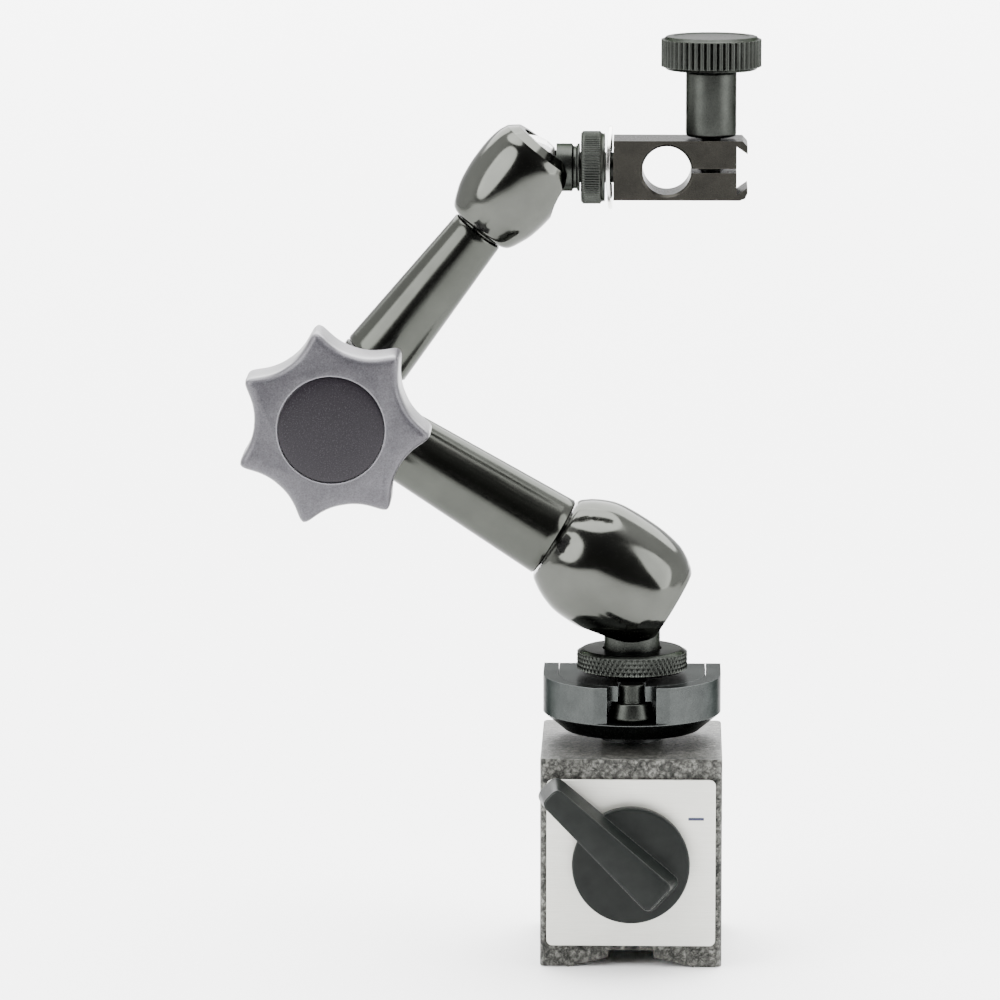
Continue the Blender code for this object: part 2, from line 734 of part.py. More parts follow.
def make_elbow_lug(arm, frame, length):
    """Half-lapped end of an arm: a disc beside the arm's plane, joined to a collar and a spigot."""
    side = arm["side"]
    near, far = sorted((side * LUG_INNER, side * LUG_OUTER))
    disc = along_y(pin(LUG_R, -far, -near, ROUND), (0.0, 0.0, -length))
    lug = add_piece(arm["prefix"] + "_elbow_lug", disc, "black_oxide", frame)
    spigot_r = arm["tube_bore_r"] - GAP
    root = COLLAR_START - length
    collar_end = COLLAR_END - length
    collar = turned([(0.0, root), (arm["tube_elbow_r"], root), (arm["tube_elbow_r"], collar_end),
                     (spigot_r, collar_end), (spigot_r, SPIGOT_END - length), (0.0, SPIGOT_END - length)])
    bridge_end = (root + collar_end) / 2.0
    block = box((-LUG_BRIDGE_HALF, near + LUG_BRIDGE_INSET, LUG_BRIDGE_START - length),
                (LUG_BRIDGE_HALF, far - LUG_BRIDGE_INSET, bridge_end))
    merge(lug, block, collar)
    cut(lug, along_y(pin(arm["hub_bore_r"], -FAR, FAR, ROUND), (0.0, 0.0, -length)),
        pin(ROD_TIP_R + GAP, -length, SPIGOT_END + OVER - length))
    if side > 0:
        cut(lug, along_y(pin(BOLT_POCKET_R, -BOLT_POCKET_DEPTH, 0.0, ROUND), (0.0, 0.0, -length)))


def make_arm(arm, frame, elbow_distance):
    make_bell(arm, frame)
    make_tube(arm, frame, elbow_distance)
    make_elbow_lug(arm, frame, elbow_distance)


# ---------------------------------------------------------------- elbow lock

def make_elbow_bolt(front):
    washer_back = -LUG_OUTER - GAP - WASHER_THICK
    head_in = washer_back - GAP
    head_out = head_in - BOLT_HEAD_HIGH
    bolt = turned([(0.0, head_out), (BOLT_HEAD_R - BOLT_HEAD_CHAMFER, head_out),
                   (BOLT_HEAD_R, head_out + BOLT_HEAD_CHAMFER), (BOLT_HEAD_R, head_in),
                   (BOLT_R, head_in), (BOLT_R, BOLT_END), (0.0, BOLT_END)])
    bolt_piece = add_piece("elbow_bolt", bolt, "steel", front)
    cut(bolt_piece, extruded(hexagon(BOLT_SOCKET_R), head_out - OVER, head_out + BOLT_SOCKET_DEPTH))
    washer = ring(BOLT_R + GAP, WASHER_R, washer_back, washer_back + WASHER_THICK)
    add_piece("elbow_washer", washer, "steel", front)


def make_wedge(front):
    bore = BOLT_R + GAP
    wedge = turned([(bore, WEDGE_FRONT), (WEDGE_R, WEDGE_FRONT), (WEDGE_R, WEDGE_SHOULDER),
                    (WEDGE_TIP_R, WEDGE_TIP), (bore, WEDGE_TIP)])
    add_piece("locking_wedge", wedge, "steel", front)


def star_outline():
    """Seven rounded tips with a round hollow between each pair."""
    half_step = math.pi / KNOB_LOBES
    edge_r = KNOB_TIP_R - KNOB_TIP_ROUND
    reach = half_step - KNOB_TIP_HALF
    hollow_at = (KNOB_NOTCH_R ** 2 - edge_r ** 2) / (2.0 * KNOB_NOTCH_R - 2.0 * edge_r * math.cos(reach))
    hollow_r = hollow_at - KNOB_NOTCH_R
    edge_x = edge_r * math.cos(reach)
    edge_y = edge_r * math.sin(reach)
    sweep = math.atan2(edge_y, hollow_at - edge_x)
    steps = 8
    points = []
    for lobe in range(KNOB_LOBES):
        tip_angle = math.radians(KNOB_FIRST_TIP) + 2.0 * half_step * lobe
        points.append((KNOB_TIP_R * math.cos(tip_angle), KNOB_TIP_R * math.sin(tip_angle)))
        hollow = tip_angle + half_step
        for k in range(steps + 1):
            turn = -sweep + 2.0 * sweep * k / steps
            along = hollow_at - hollow_r * math.cos(turn)
            across = hollow_r * math.sin(turn)
            points.append((along * math.cos(hollow) - across * math.sin(hollow),
                           along * math.sin(hollow) + across * math.cos(hollow)))
    return points


def make_knob(front):
    star = extruded(star_outline(), KNOB_BACK, KNOB_FRONT)
    knob = add_piece("locking_knob", star, "silver_paint", front)
    rounding = knob.modifiers.new("rounded_edges", "BEVEL")
    rounding.width = KNOB_EDGE * MM
    rounding.segments = 2
    rounding.limit_method = "ANGLE"
    rounding.angle_limit = math.radians(60)
    merge(knob, pin(KNOB_BOSS_R, KNOB_BOSS_BACK, KNOB_BACK + OVER, ROUND))
    cut(knob, pin(INSERT_R + GAP, 0.0, KNOB_HOLE_END, ROUND),
        pin(CAP_R + GAP, KNOB_FRONT - CAP_POCKET, KNOB_FRONT + OVER, ROUND))
    insert = ring(BOLT_R + GAP, INSERT_R, KNOB_BOSS_BACK + GAP, INSERT_END)
    add_piece("knob_insert", insert, "brass", front)
    add_piece("knob_cap", pin(CAP_R, KNOB_FRONT - CAP_BACK, KNOB_FRONT + CAP_PROUD, ROUND), "graphite", front)


# ---------------------------------------------------------------- clamp end

def make_stud(frame):
    shoulder = UPPER_ARM["ball_flat"] + GAP
    neck = UPPER_ARM["neck_r"]
    tip_r = UPPER_ARM["tip_hole_r"] - GAP
    core = STUD_CORE_R
    groove = [(neck - depth, height) for height, depth in STUD_GROOVE]
    profile = [(0.0, STUD_TIP), (tip_r, STUD_TIP), (tip_r, shoulder), (neck, shoulder)] + groove
    profile += [(neck, STUD_SHOULDER), (core, STUD_SHOULDER), (core, STUD_GROOVE_LOW),
                (STUD_GROOVE_R, STUD_GROOVE_LOW), (STUD_GROOVE_R, STUD_GROOVE_HIGH),
                (core, STUD_GROOVE_HIGH), (core, STUD_END), (0.0, STUD_END)]
    add_piece("upper_stud", turned(profile), "black_oxide", frame)


def make_collar(frame):
    rim = [(radius, COLLAR_LOW + height) for radius, height in COLLAR_RIM]
    profile = [(COLLAR_BORE_R, COLLAR_LOW)] + rim + [(COLLAR_BORE_R, COLLAR_HIGH)]
    add_piece("preload_collar", turned(profile), "black_oxide", frame)


def make_spring_washer(frame):
    """Wave washer: a flat ring whose height rises and falls twice in a turn."""
    bm = ring(SPRING_BORE_R, SPRING_R, WASHER_MIDDLE - SPRING_HALF, WASHER_MIDDLE + SPRING_HALF)
    for vert in bm.verts:
        turn = math.atan2(vert.co.y, vert.co.x)
        vert.co.z += SPRING_WAVE * math.cos(2.0 * turn)
    add_piece("spring_washer", bm, "steel", frame)


def clamp_outline():
    """Section of the clamp block with its dovetail groove, from the front."""
    h = BLOCK_HALF_HEIGHT
    corner = BLOCK_CORNER
    soft = 0.3 * corner
    return [(BLOCK_START, -h), (BLOCK_END - corner, -h), (BLOCK_END - soft, -h + soft),
            (BLOCK_END, -h + corner), (BLOCK_END, -DOVETAIL_MOUTH), (DOVETAIL_FLOOR, -DOVETAIL_INNER),
            (DOVETAIL_FLOOR, DOVETAIL_INNER), (BLOCK_END, DOVETAIL_MOUTH), (BLOCK_END, h - DOVETAIL_EDGE),
            (BLOCK_END - DOVETAIL_EDGE, h), (BLOCK_START, h)]


def make_clamp_block(front):
    """Front frame with its origin at the upper ball: x along the stud, y up."""
    h = BLOCK_HALF_HEIGHT
    bm = extruded(clamp_outline(), -BLOCK_HALF_DEPTH, BLOCK_HALF_DEPTH)
    block = add_piece("clamp_block", bm, "black_oxide", front)
    upright = Matrix.Rotation(math.radians(-90), 4, "X")
    at_screw = Matrix.Translation((CLAMP_SCREW_AT, 0.0, 0.0)) @ upright
    at_keeper = Matrix.Translation((KEEPER_AT, 0.0, -KEEPER_Y)) @ upright
    keeper_top = h - 0.8
    cut(block,
        moved(pin(CLAMP_BORE_R, -FAR, FAR, ROUND), Matrix.Translation((CLAMP_BORE_AT, 0.0, 0.0))),
        box((CLAMP_BORE_AT, -SAW_SLOT_HALF, -FAR), (DOVETAIL_FLOOR + OVER, SAW_SLOT_HALF, FAR)),
        moved(pin(CLAMP_SCREW_HOLE_R, -FAR, FAR), at_screw),
        along_x(pin(STUD_HOLE_R, BLOCK_START - OVER, STUD_HOLE_END)),
        moved(pin(KEEPER_HOLE_R, -FAR, keeper_top), at_keeper))
    keeper = moved(pin(KEEPER_R, -h + 0.2, keeper_top - GAP), at_keeper)
    add_piece("clamp_retaining_pin", keeper, "steel", front)


def make_thumb_screw(frame):
    edge = SCREW_SHANK_EDGE
    chamfer = SCREW_HEAD_CHAMFER
    profile = [(0.0, SCREW_THREAD_LOW), (SCREW_THREAD_R, SCREW_THREAD_LOW), (SCREW_THREAD_R, SCREW_SHANK_LOW),
               (SCREW_SHANK_R - edge, SCREW_SHANK_LOW), (SCREW_SHANK_R, SCREW_SHANK_LOW + edge),
               (SCREW_SHANK_R, SCREW_HEAD_LOW), (SCREW_HEAD_R - chamfer, SCREW_HEAD_LOW),
               (SCREW_HEAD_R, SCREW_HEAD_LOW + chamfer), (SCREW_HEAD_R, SCREW_TOP - chamfer),
               (SCREW_HEAD_R - chamfer, SCREW_TOP), (0.0, SCREW_TOP)]
    add_piece("clamp_thumb_screw", turned(profile), "black_oxide", frame)


# ---------------------------------------------------------------- assembly

def footprint_centre():
    """Middle of the holder's box in x and y, worked out from its outermost faces."""
    left = ELBOW_CENTRE[0] + min(x for x, _ in star_outline())
    right = UPPER_BALL_CENTRE[0] + CLAMP_SCREW_AT + SCREW_HEAD_R
    front = -KNOB_FRONT - CAP_PROUD
    back = BASE_DEPTH / 2.0
    return ((left + right) / 2.0, (front + back) / 2.0)


def clear_scene():
    for thing in list(bpy.data.objects):
        bpy.data.objects.remove(thing, do_unlink=True)


def build():
    clear_scene()
    centre_x, centre_y = footprint_centre()
    layout = add_frame("layout", None, (-centre_x, -centre_y, 0.0))

    make_pole("base_pole_left", -1, layout)
    make_pole("base_pole_right", 1, layout)
    make_spacers(layout)
    switch_front = add_frame("switch_frame", layout, (0.0, 0.0, ROTOR_HEIGHT), front_turn())
    make_label_plate(switch_front)
    make_bearings(switch_front)
    make_switch(switch_front)

    make_adjuster_body(layout)
    make_adjuster_fittings(layout)
    tilt = add_frame("tilt_frame", layout, (0.0, PIVOT_Y, PIVOT_Z))
    make_tilt_plate(tilt)
    make_wheel(layout)

    lower_angle = chain_angle(ELBOW_CENTRE, LOWER_BALL_CENTRE)
    upper_angle = chain_angle(ELBOW_CENTRE, UPPER_BALL_CENTRE)
    lower_length = math.dist(ELBOW_CENTRE, LOWER_BALL_CENTRE)
    upper_length = math.dist(ELBOW_CENTRE, UPPER_BALL_CENTRE)
    upside_down = Matrix.Rotation(math.pi, 4, "X")
    lower_ball = add_frame("lower_ball_frame", layout, in_plane(LOWER_BALL_CENTRE), upside_down)
    make_ball(LOWER_ARM, lower_ball)
    lower = add_frame("lower_arm_frame", layout, in_plane(LOWER_BALL_CENTRE), chain_turn(lower_angle))
    make_arm(LOWER_ARM, lower, lower_length)
    make_seat_and_rod(LOWER_ARM, lower, lower_length)

    elbow_front = add_frame("elbow_frame", layout, in_plane(ELBOW_CENTRE), front_turn())
    make_elbow_bolt(elbow_front)
    make_wedge(elbow_front)
    make_knob(elbow_front)

    upper = add_frame("upper_arm_frame", layout, in_plane(UPPER_BALL_CENTRE), chain_turn(upper_angle))
    make_arm(UPPER_ARM, upper, upper_length)
    make_seat_and_rod(UPPER_ARM, upper, upper_length)

    stud = add_frame("stud_frame", layout, in_plane(UPPER_BALL_CENTRE), chain_turn(STUD_ANGLE))
    make_ball(UPPER_ARM, stud)
    make_stud(stud)
    make_collar(stud)
    make_spring_washer(stud)
    clamp_front = add_frame("clamp_frame", layout, in_plane(UPPER_BALL_CENTRE), front_turn())
    make_clamp_block(clamp_front)
    screw = add_frame("thumb_screw_frame", layout, (UPPER_BALL_CENTRE[0] + CLAMP_SCREW_AT, 0.0, 0.0))
    make_thumb_screw(screw)


build()
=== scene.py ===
"""Looks of the articulated holder on its magnetic base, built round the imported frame.

Local shapes are drawn in millimetres and scaled to metres when a piece is made.
A front frame has x right, y up and z towards the front; a chain frame has z along a tube or
stud in the plane of the arms and y kept as +Y; the layout frame stands under the base's middle.
"""
import json
import math

import bmesh
import bpy
from mathutils import Matrix, Vector


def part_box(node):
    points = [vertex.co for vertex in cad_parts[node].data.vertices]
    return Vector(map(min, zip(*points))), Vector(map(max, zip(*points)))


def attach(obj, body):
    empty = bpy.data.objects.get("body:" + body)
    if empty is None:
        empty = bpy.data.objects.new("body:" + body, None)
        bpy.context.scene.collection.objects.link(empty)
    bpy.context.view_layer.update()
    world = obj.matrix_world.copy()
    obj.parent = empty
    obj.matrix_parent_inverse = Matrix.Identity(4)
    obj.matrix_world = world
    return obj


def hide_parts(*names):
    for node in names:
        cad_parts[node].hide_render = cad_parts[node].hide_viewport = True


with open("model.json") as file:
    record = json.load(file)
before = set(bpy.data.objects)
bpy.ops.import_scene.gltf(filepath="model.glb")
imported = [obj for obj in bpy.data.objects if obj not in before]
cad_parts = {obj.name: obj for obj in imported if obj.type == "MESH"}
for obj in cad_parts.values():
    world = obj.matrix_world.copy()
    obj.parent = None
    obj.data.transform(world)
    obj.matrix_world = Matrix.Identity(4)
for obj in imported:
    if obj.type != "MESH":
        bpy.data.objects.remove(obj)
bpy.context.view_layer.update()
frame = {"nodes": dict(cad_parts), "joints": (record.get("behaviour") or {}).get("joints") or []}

MM = 0.001
TINY = 1e-6
FINE = 96
JOINTS = {joint["name"]: joint for joint in frame["joints"]}


# ---------------------------------------------------------------- places read from the frame

def low_mm(node):
    return Vector(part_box(node)[0]) / MM


def high_mm(node):
    return Vector(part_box(node)[1]) / MM


def joint_place(name):
    return Vector(JOINTS[name]["pos_m"])


BASE_LOW = low_mm("base_pole_left")
BASE_HIGH = high_mm("base_pole_right")
ORIGIN = Vector(((BASE_LOW.x + BASE_HIGH.x) / 2.0, (BASE_LOW.y + BASE_HIGH.y) / 2.0, 0.0))
LAYOUT = Matrix.Translation(ORIGIN * MM)
HALF_WIDTH = (BASE_HIGH.x - BASE_LOW.x) / 2.0
HALF_DEPTH = (BASE_HIGH.y - BASE_LOW.y) / 2.0
BASE_TOP = BASE_HIGH.z
LOWER_BALL = joint_place("lower_tilt")
ELBOW = joint_place("elbow_turn")
UPPER_BALL = joint_place("upper_tilt")
ROTOR = Vector((ORIGIN.x * MM, ORIGIN.y * MM, joint_place("switch_turn").z))


def front_frame(place):
    return Matrix.Translation(place) @ Matrix.Rotation(math.radians(90.0), 4, "X")


def chain_frame(place, angle):
    """z points at the angle in the XZ plane, counted from +X towards +Z."""
    return Matrix.Translation(place) @ Matrix.Rotation(math.radians(90.0 - angle), 4, "Y")


def chain_angle(start, end):
    return math.degrees(math.atan2(end.z - start.z, end.x - start.x))


# ---------------------------------------------------------------- mesh helpers

def circle_angles(count):
    return [2.0 * math.pi * k / count for k in range(count)]


def bridge(bm, first, second):
    count = max(len(first), len(second))
    for k in range(count):
        after = (k + 1) % count
        corners = [first[k % len(first)], first[after % len(first)],
                   second[after % len(second)], second[k % len(second)]]
        corners = list(dict.fromkeys(corners))
        if len(corners) > 2:
            bm.faces.new(corners)


def surface(radius_of, profile, count):
    """Turned solid whose radius may also depend on the angle: radius_of(radius, height, angle)."""
    is_ring = profile[0][0] > TINY
    bm = bmesh.new()
    rings = []
    for radius, height in profile:
        if radius < TINY:
            rings.append([bm.verts.new((0.0, 0.0, height))])
        else:
            ring_points = []
            for angle in circle_angles(count):
                r = radius_of(radius, height, angle)
                ring_points.append(bm.verts.new((r * math.cos(angle), r * math.sin(angle), height)))
            rings.append(ring_points)
    for first, second in zip(rings, rings[1:]):
        bridge(bm, first, second)
    if is_ring:
        bridge(bm, rings[-1], rings[0])
    bmesh.ops.recalc_face_normals(bm, faces=bm.faces)
    return bm


def turned(profile, count=FINE):
    return surface(lambda radius, height, angle: radius, profile, count)


def pin(radius, low, high, count=FINE):
    return turned([(0.0, low), (radius, low), (radius, high), (0.0, high)], count)


def filleted(points, radius, steps=4, closed=False):
    """Round the corners of a polyline; points on the axis at its ends stay."""
    count = len(points)
    result = []
    for k, corner in enumerate(points):
        at_end = not closed and k in (0, count - 1)
        if at_end:
            result.append(corner)
            continue
        here = Vector(corner)
        before = Vector(points[k - 1])
        after = Vector(points[(k + 1) % count])
        reach = min(radius, 0.45 * (before - here).length, 0.45 * (after - here).length)
        start = here + (before - here).normalized() * reach
        end = here + (after - here).normalized() * reach
        for step in range(steps + 1):
            t = step / steps
            point = start * (1 - t) ** 2 + here * (2 * t * (1 - t)) + end * t ** 2
            result.append((point.x, point.y))
    return result


def smooth_curve(points, per_span=6):
    """Catmull-Rom curve through the points."""
    ends = [Vector(points[0]) * 2 - Vector(points[1])] + [Vector(p) for p in points]
    ends.append(Vector(points[-1]) * 2 - Vector(points[-2]))
    result = []
    for a, b, c, d in zip(ends, ends[1:], ends[2:], ends[3:]):
        for step in range(per_span):
            t = step / per_span
            p = 0.5 * ((2 * b) + (c - a) * t + (2 * a - 5 * b + 4 * c - d) * t ** 2
                       + (3 * b - a - 3 * c + d) * t ** 3)
            result.append((p.x, p.y))
    result.append(tuple(points[-1]))
    return result


def loft(outlines):
    """Skin over a stack of (outline, height) with the same number of points, closed at both ends."""
    bm = bmesh.new()
    rings = [[bm.verts.new((x, y, z)) for x, y in outline] for outline, z in outlines]
    for first, second in zip(rings, rings[1:]):
        bridge(bm, first, second)
    bm.faces.new(rings[0])
    bm.faces.new(rings[-1])
    bmesh.ops.recalc_face_normals(bm, faces=bm.faces)
    return bm


def extruded(outline, low, high):
    return loft([(outline, low), (outline, high)])


def box(low, high):
    x0, y0, z0 = low
    x1, y1, z1 = high
    return extruded([(x0, y0), (x1, y0), (x1, y1), (x0, y1)], z0, z1)


def moved(bm, matrix):
    bmesh.ops.transform(bm, matrix=matrix, verts=bm.verts)
    return bm


def along_y(bm, place=(0.0, 0.0, 0.0)):
    return moved(bm, Matrix.Translation(place) @ Matrix.Rotation(math.radians(90), 4, "X"))


def along_x(bm, place=(0.0, 0.0, 0.0)):
    return moved(bm, Matrix.Translation(place) @ Matrix.Rotation(math.radians(90), 4, "Y"))


def scratch_object(bm):
    mesh = bpy.data.meshes.new("scratch")
    bm.to_mesh(mesh)
    bm.free()
    thing = bpy.data.objects.new("scratch", mesh)
    bpy.context.scene.collection.objects.link(thing)
    return thing


def carved(bm, cuts=(), joins=()):
    """Boolean result as a new bmesh; the working objects are removed again."""
    body = scratch_object(bm)
    tools = []
    for tool, operation in [(t, "UNION") for t in joins] + [(t, "DIFFERENCE") for t in cuts]:
        helper = scratch_object(tool)
        modifier = body.modifiers.new("carve", "BOOLEAN")
        modifier.operation = operation
        modifier.solver = "EXACT"
        modifier.object = helper
        tools.append(helper)
    bpy.context.view_layer.update()
    graph = bpy.context.evaluated_depsgraph_get()
    result = bmesh.new()
    result.from_mesh(body.evaluated_get(graph).to_mesh())
    for thing in [body] + tools:
        mesh = thing.data
        bpy.data.objects.remove(thing, do_unlink=True)
        bpy.data.meshes.remove(mesh)
    return result


def make_piece(name, bm, place, material, body, stands_for=(), bevel=0.0, sharp=30.0):
    """Store a mesh drawn in millimetres as a finished piece on a body."""
    bmesh.ops.scale(bm, vec=(MM, MM, MM), verts=bm.verts)
    mesh = bpy.data.meshes.new(name)
    bm.to_mesh(mesh)
    bm.free()
    mesh.shade_smooth()
    mesh.set_sharp_from_angle(angle=math.radians(sharp))
    mesh.materials.append(material)
    piece = bpy.data.objects.new(name, mesh)
    bpy.context.scene.collection.objects.link(piece)
    piece.matrix_world = place
    if bevel > 0.0:
        rounding = piece.modifiers.new("rounding", "BEVEL")
        rounding.width = bevel * MM
        rounding.segments = 3
        rounding.limit_method = "ANGLE"
        rounding.angle_limit = math.radians(sharp)
        rounding.use_clamp_overlap = True
        rounding.harden_normals = True
    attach(piece, body)
    if stands_for:
        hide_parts(*stands_for)
    return piece


# ---------------------------------------------------------------- material helpers

class Shader:
    """A Principled material with short calls for its procedural nodes."""

    def __init__(self, name, roughness=0.5, metallic=0.0):
        self.material = bpy.data.materials.new(name)
        self.material.use_nodes = True
        self.tree = self.material.node_tree
        self.shader = self.tree.nodes["Principled BSDF"]
        self.shader.inputs["Roughness"].default_value = roughness
        self.shader.inputs["Metallic"].default_value = metallic
        self.coords = self.tree.nodes.new("ShaderNodeTexCoord").outputs["Object"]

    def set(self, **values):
        for key, value in values.items():
            self.shader.inputs[key.replace("_", " ")].default_value = value

    def link(self, source, target):
        self.tree.links.new(source, target)

    def stretched(self, scale):
        """Coordinates in millimetres, scaled on each axis."""
        node = self.tree.nodes.new("ShaderNodeMapping")
        node.inputs["Scale"].default_value = [s / MM for s in scale]
        self.link(self.coords, node.inputs["Vector"])
        return node.outputs["Vector"]

    def noise(self, scale, detail=4.0, roughness=0.55, distortion=0.0):
        node = self.tree.nodes.new("ShaderNodeTexNoise")
        node.inputs["Scale"].default_value = 1.0
        node.inputs["Detail"].default_value = detail
        node.inputs["Roughness"].default_value = roughness
        node.inputs["Distortion"].default_value = distortion
        self.link(self.stretched(scale), node.inputs["Vector"])
        return node.outputs["Fac"]

    def cells(self, scale, feature="F1", wobble=None, amount=0.4):
        node = self.tree.nodes.new("ShaderNodeTexVoronoi")
        node.feature = feature
        node.inputs["Scale"].default_value = 1.0
        vector = self.stretched(scale)
        if wobble is not None:
            add = self.tree.nodes.new("ShaderNodeVectorMath")
            add.operation = "MULTIPLY_ADD"
            self.link(wobble, add.inputs[0])
            add.inputs[1].default_value = (amount, amount, amount)
            self.link(vector, add.inputs[2])
            vector = add.outputs["Vector"]
        self.link(vector, node.inputs["Vector"])
        return node.outputs["Distance"]

    def waves(self, direction, scale, distortion=0.0, rings=False):
        node = self.tree.nodes.new("ShaderNodeTexWave")
        if rings:
            node.wave_type = "RINGS"
            node.rings_direction = direction
        else:
            node.bands_direction = direction
        node.inputs["Scale"].default_value = 1.0
        node.inputs["Distortion"].default_value = distortion
        node.inputs["Detail"].default_value = 2.0
        self.link(self.stretched((scale, scale, scale)), node.inputs["Vector"])
        return node.outputs["Fac"]

    def ramp(self, source, stops):
        """Colour ramp from (position, grey or colour) stops."""
        node = self.tree.nodes.new("ShaderNodeValToRGB")
        ramp = node.color_ramp
        while len(ramp.elements) < len(stops):
            ramp.elements.new(0.5)
        for element, (position, value) in zip(ramp.elements, stops):
            element.position = position
            colour = (value, value, value) if isinstance(value, (int, float)) else value
            element.color = (*colour, 1.0)
        self.link(source, node.inputs["Fac"])
        return node.outputs["Color"]

    def mix(self, first, second, factor=0.5, mode="MIX"):
        node = self.tree.nodes.new("ShaderNodeMix")
        node.data_type = "RGBA"
        node.blend_type = mode
        if isinstance(factor, float):
            node.inputs["Factor"].default_value = factor
        else:
            self.link(factor, node.inputs["Factor"])
        for value, socket in ((first, node.inputs["A"]), (second, node.inputs["B"])):
            if isinstance(value, tuple):
                socket.default_value = (*value, 1.0)
            else:
                self.link(value, socket)
        return node.outputs["Result"]

    def colour(self, source):
        self.link(source, self.shader.inputs["Base Color"])

    def roughness(self, source):
        self.link(source, self.shader.inputs["Roughness"])

    def bump(self, source, height_mm, strength=1.0):
        """Bump layers add up: each goes under the one before."""
        node = self.tree.nodes.new("ShaderNodeBump")
        node.inputs["Strength"].default_value = strength
        node.inputs["Distance"].default_value = height_mm * MM
        self.link(source, node.inputs["Height"])
        normal = self.shader.inputs["Normal"]
        if normal.is_linked:
            self.link(normal.links[0].from_socket, node.inputs["Normal"])
        self.link(node.outputs["Normal"], normal)

    def edge_highlight_mask(self, radius_mm):
        """High on convex edges, from the angle between the true and the bevelled normal; it is used to paint
        highlights onto edges.
        """
        bevel = self.tree.nodes.new("ShaderNodeBevel")
        bevel.samples = 4
        bevel.inputs["Radius"].default_value = radius_mm * MM
        geometry = self.tree.nodes.new("ShaderNodeNewGeometry")
        dot = self.tree.nodes.new("ShaderNodeVectorMath")
        dot.operation = "DOT_PRODUCT"
        self.link(bevel.outputs["Normal"], dot.inputs[0])
        self.link(geometry.outputs["Normal"], dot.inputs[1])
        return self.ramp(dot.outputs["Value"], [(0.80, 1.0), (0.97, 0.0)])


# ---------------------------------------------------------------- materials

def hammertone():
    """Grey hammer paint: light pools about a millimetre across between dark, uneven rims."""
    s = Shader("hammertone_paint", 0.4, 0.3)
    s.set(Specular_IOR_Level=0.3, Specular_Tint=(0.4, 0.4, 0.4, 1.0))
    warp = s.noise((0.8, 0.8, 0.8), 3.0)
    blotches = s.noise((0.75, 0.75, 0.75), 3.0, 0.65, 1.2)
    rims = s.cells((0.72, 0.72, 0.72), "DISTANCE_TO_EDGE", warp, 2.0)
    specks = s.noise((2.8, 2.8, 2.8), 4.0, 0.75)
    pools = s.ramp(blotches, [(0.36, (0.030, 0.031, 0.028)), (0.47, (0.09, 0.09, 0.082)),
                              (0.6, (0.14, 0.14, 0.128)), (0.75, (0.19, 0.19, 0.178))])
    rim = s.ramp(rims, [(0.0, 0.3), (0.14, 0.65), (0.35, 1.0)])
    tint = s.ramp(specks, [(0.34, 0.45), (0.5, 0.95), (0.7, 1.3)])
    s.colour(s.mix(s.mix(pools, rim, 1.0, "MULTIPLY"), tint, 1.0, "MULTIPLY"))
    s.roughness(s.ramp(specks, [(0.3, 0.5), (0.7, 0.34)]))
    s.bump(rims, 0.12, 0.8)
    s.bump(specks, 0.05, 0.4)
    return s.material


def brushed_plate():
    """Satin aluminium with fine horizontal brushing."""
    s = Shader("plate_brushed", 0.42, 0.55)
    lines = s.noise((0.18, 9.0, 9.0), 5.0, 0.7)
    clouds = s.noise((0.12, 0.12, 0.12), 2.0)
    tone = s.ramp(lines, [(0.3, (0.53, 0.53, 0.485)), (0.7, (0.64, 0.64, 0.595))])
    s.colour(s.mix(tone, s.ramp(clouds, [(0.35, 0.94), (0.65, 1.0)]), 1.0, "MULTIPLY"))
    s.roughness(s.ramp(lines, [(0.3, 0.36), (0.7, 0.5)]))
    s.bump(lines, 0.01, 0.35)
    return s.material


def black_plastic():
    s = Shader("switch_plastic", 0.42)
    grain = s.noise((14.0, 14.0, 14.0), 2.0)
    clouds = s.noise((0.35, 0.35, 0.35), 3.0)
    # painted highlight: a lighter colour on every convex edge, where rounded edges catch the light
    painted_highlight = s.edge_highlight_mask(0.35)
    tone = s.ramp(clouds, [(0.3, (0.0035, 0.0045, 0.004)), (0.7, (0.0065, 0.0078, 0.007))])
    s.colour(s.mix(tone, (0.06, 0.064, 0.06), painted_highlight))
    s.set(Specular_IOR_Level=0.13)
    s.roughness(s.ramp(grain, [(0.3, 0.36), (0.7, 0.5)]))
    s.bump(grain, 0.012, 0.5)
    return s.material


def black_oxide(name, tone=(0.05, 0.053, 0.05), turning=None, low=0.28, high=0.42):
    """Blackened steel: soft clouds, fine scratches and, on turned pieces, rings round the axis."""
    s = Shader(name, 0.35, 1.0)
    s.set(Specular_Tint=(0.35, 0.35, 0.35, 1.0))
    clouds = s.noise((0.25, 0.25, 0.25), 4.0, 0.6)
    fine = s.noise((5.0, 5.0, 5.0), 4.0, 0.7)
    dark = tuple(c * 0.82 for c in tone)
    light = tuple(c * 1.16 for c in tone)
    # painted highlight: a lighter colour on every convex edge, where rounded edges catch the light
    painted_highlight = s.edge_highlight_mask(0.25)
    base = s.ramp(clouds, [(0.3, dark), (0.7, light)])
    s.colour(s.mix(base, tuple(min(1.0, c * 2.4) for c in tone), painted_highlight))
    s.roughness(s.ramp(fine, [(0.3, low), (0.7, high)]))
    if turning:
        s.bump(s.waves(turning, 5.5, 0.6), 0.006, 0.5)
    s.bump(fine, 0.006, 0.3)
    return s.material


def polished_black(name, tone, low, high, along=None):
    """Glossy black plating, with drawing marks along the piece where it has them."""
    s = Shader(name, 0.15, 1.0)
    s.set(Specular_Tint=(0.6, 0.6, 0.6, 1.0))
    clouds = s.noise((0.16, 0.16, 0.16), 3.0)
    s.colour(s.ramp(clouds, [(0.3, tuple(c * 0.9 for c in tone)), (0.7, tuple(c * 1.08 for c in tone))]))
    if along:
        marks = s.noise(along, 4.0, 0.65)
        s.roughness(s.ramp(marks, [(0.3, low), (0.7, high)]))
        s.bump(marks, 0.004, 0.3)
    else:
        smudges = s.noise((0.5, 0.5, 0.5), 5.0, 0.7)
        s.roughness(s.ramp(smudges, [(0.35, low), (0.75, high)]))
        s.bump(smudges, 0.004, 0.2)
    return s.material


